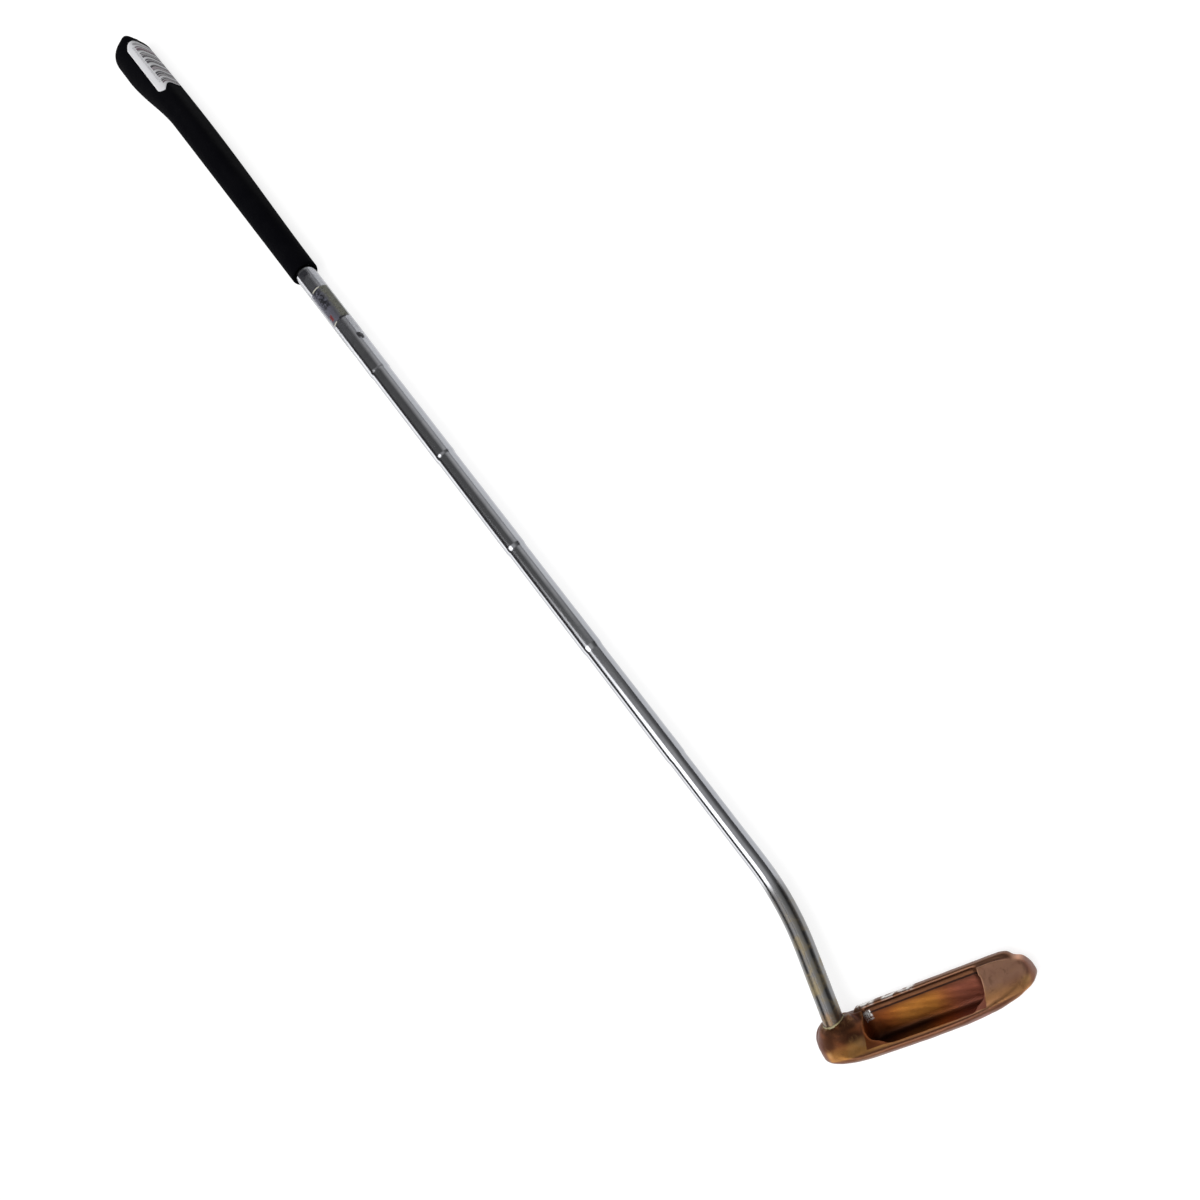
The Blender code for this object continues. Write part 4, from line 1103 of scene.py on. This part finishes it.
# the room's levels of light, and its places by direction: x to the head, y to the far side, z up
roomLooks = {
    "backdrop": 1.0,
    "level": 0.11,
    "nearWall": 1.9,
    "nearShade": 0.035,
    "nearWallTop": (0.24, 0.36),
    "ceiling": 0.36,
    "farWest": 0.46,
    "window": 2.6,
    "windowMiddle": -0.36,
    "windowWest": 0.11,
    "windowWiden": 0.20,
    "windowEdge": (-0.02, 0.03),
    "places": {
        "east": {"x": (-0.38, -0.22)},
        "near": {"y": (-0.44, -0.58)},
        "ceilingSide": {"y": (0.92, 0.40)},
        "farWest": {"x": (-0.30, -0.42), "y": (0.38, 0.88)},
        "window": {"x": (-0.44, -0.34), "z": (0.3, 0.6)},
        "windowEnd": {"x": (0.60, 0.35)},
    },
}

# one broad lamp overhead: its place and aim in metres on the table, its size and its power; metal
# doesn't mirror it, because the room already has a window and a pale ceiling for that
lampLooks = {
    "place": (0.1, 0.2, 2.2),
    "aim": (0.1, 0.0, 0.0),
    "size": (2.6, 2.6),
    "power": 26,
}

# the place in millimetres and the turn in degrees of the address frame, and the focal length in
# pixels of the square image
cameraLooks = {
    "place": (219.821, -564.413, 179.940),
    "turn": (99.4381, 27.8766, 30.4264),
    "focalPixels": 1143.56,
    "imagePixels": 1200,
    "sensor": 36,
    "clipStart": 0.01,
}


def makeFloor():
    # a square a little below height 0, so that nothing shares its plane
    half = stageLooks["floorHalf"]
    reach = np.linspace(-half, half, 2)
    x, y = np.meshgrid(reach, reach)
    height = np.full_like(x, -stageLooks["floorDrop"] * mm)
    floor = surfaceMesh("floor", np.stack([x, y, height], axis=-1))
    paint = Paint("palePaper")
    shade = paint.noise(paint.add("ShaderNodeTexCoord", {}, {}).outputs["Object"], 1.5, 3, 0.5)
    base = stageLooks["floorColor"]
    color = paint.mix(shade, (base,) * 3, (base * stageLooks["floorPatch"],) * 3)
    ray = paint.add("ShaderNodeLightPath", {}, {})
    seen = Value(paint, ray.outputs["Is Camera Ray"]) + Value(paint, ray.outputs["Is Glossy Ray"])
    glow = paint.mix(seen.atMost(1.0), (0.0, 0.0, 0.0), (stageLooks["floorGlow"],) * 3)
    floor.data.materials.append(paint.finish(BaseColor=color, Roughness=0.9, Specular=0.1,
                                             EmissionColor=glow, EmissionStrength=1.0))


def makeWorld():
    # The room, by direction: on the near side a white wall low down with shade above it, then one
    # large window; a pale ceiling over the head, and a brighter far side towards the grip. The
    # camera itself sees a white backdrop.
    world = bpy.data.worlds.new("room")
    bpy.context.scene.world = world
    paint = Paint("room", world)
    looks = roomLooks
    ray = paint.add("ShaderNodeLightPath", {}, {})
    x, y, z = paint.split(paint.add("ShaderNodeTexCoord", {}, {}).outputs["Generated"])
    at = spotShares({"x": x, "y": y, "z": z}, looks["places"])
    wall = z.between(*looks["nearWallTop"], looks["nearWall"], looks["nearShade"])
    ceiling = at["east"] * at["ceilingSide"] * looks["ceiling"]
    sky = looks["level"] + ceiling + at["farWest"] * looks["farWest"]
    # the window's edge is where its half width, wider to the east, equals the way from its middle
    reach = looks["windowWest"] + looks["windowWiden"] * at["east"]
    offset = y - looks["windowMiddle"]
    window = (reach * reach - offset * offset).between(*looks["windowEdge"])
    window = window * at["window"] * at["windowEnd"] * (0.35 + 0.65 * at["east"])
    level = sky + at["near"] * (wall - sky) + window * looks["window"]
    seen = Value(paint, ray.outputs["Is Camera Ray"])
    level = level * (1 - seen) + seen * looks["backdrop"]
    paint.finish("Background", Color=(1.0, 1.0, 1.0), Strength=level)


def makeLamp():
    looks = lampLooks
    data = bpy.data.lights.new("ceilingLight", "AREA")
    data.shape = "RECTANGLE"
    data.size, data.size_y = looks["size"]
    data.energy = looks["power"]
    lamp = bpy.data.objects.new("ceilingLight", data)
    lamp.location = looks["place"]
    back = unit(np.array(looks["place"]) - np.array(looks["aim"]))
    right = unit(np.cross([0.0, 1.0, 0.0], back))
    aim = Matrix(np.stack([right, np.cross(back, right), back], axis=1).tolist())
    lamp.rotation_euler = aim.to_euler()
    lamp.visible_glossy = False
    bpy.context.scene.collection.objects.link(lamp)


def makeCamera():
    looks = cameraLooks
    data = bpy.data.cameras.new("photoView")
    data.sensor_width = looks["sensor"]
    data.lens = looks["focalPixels"] / looks["imagePixels"] * looks["sensor"]
    data.clip_start = looks["clipStart"]
    camera = bpy.data.objects.new("photoView", data)
    turn = Euler([math.radians(angle) for angle in looks["turn"]]).to_matrix()
    turn = Matrix(ways.T.tolist()) @ turn
    place = toWorld(np.array(looks["place"]))
    camera.matrix_world = Matrix.Translation(place) @ turn.to_4x4()
    bpy.context.scene.collection.objects.link(camera)
    bpy.context.scene.camera = camera


makeFloor()
makeWorld()
makeLamp()
makeCamera()
bpy.context.scene.view_settings.view_transform = "Standard"
print("stage, lamp and camera are set")
makeHead(bronzePaint())
print("head is cast")
makeShaft(chromePaint())
makeEpoxy(resinPaint())
print("shaft is drawn and glued in")
makeGrip(rubberPaint())
makeSticker(stickerPaint())
makeBand(bandPaint())
print("grip, label and film are on")
refinish("grip_tape", tapePaint())
refinish("shaft_plug", nylonPaint())
print("inner pieces are finished")
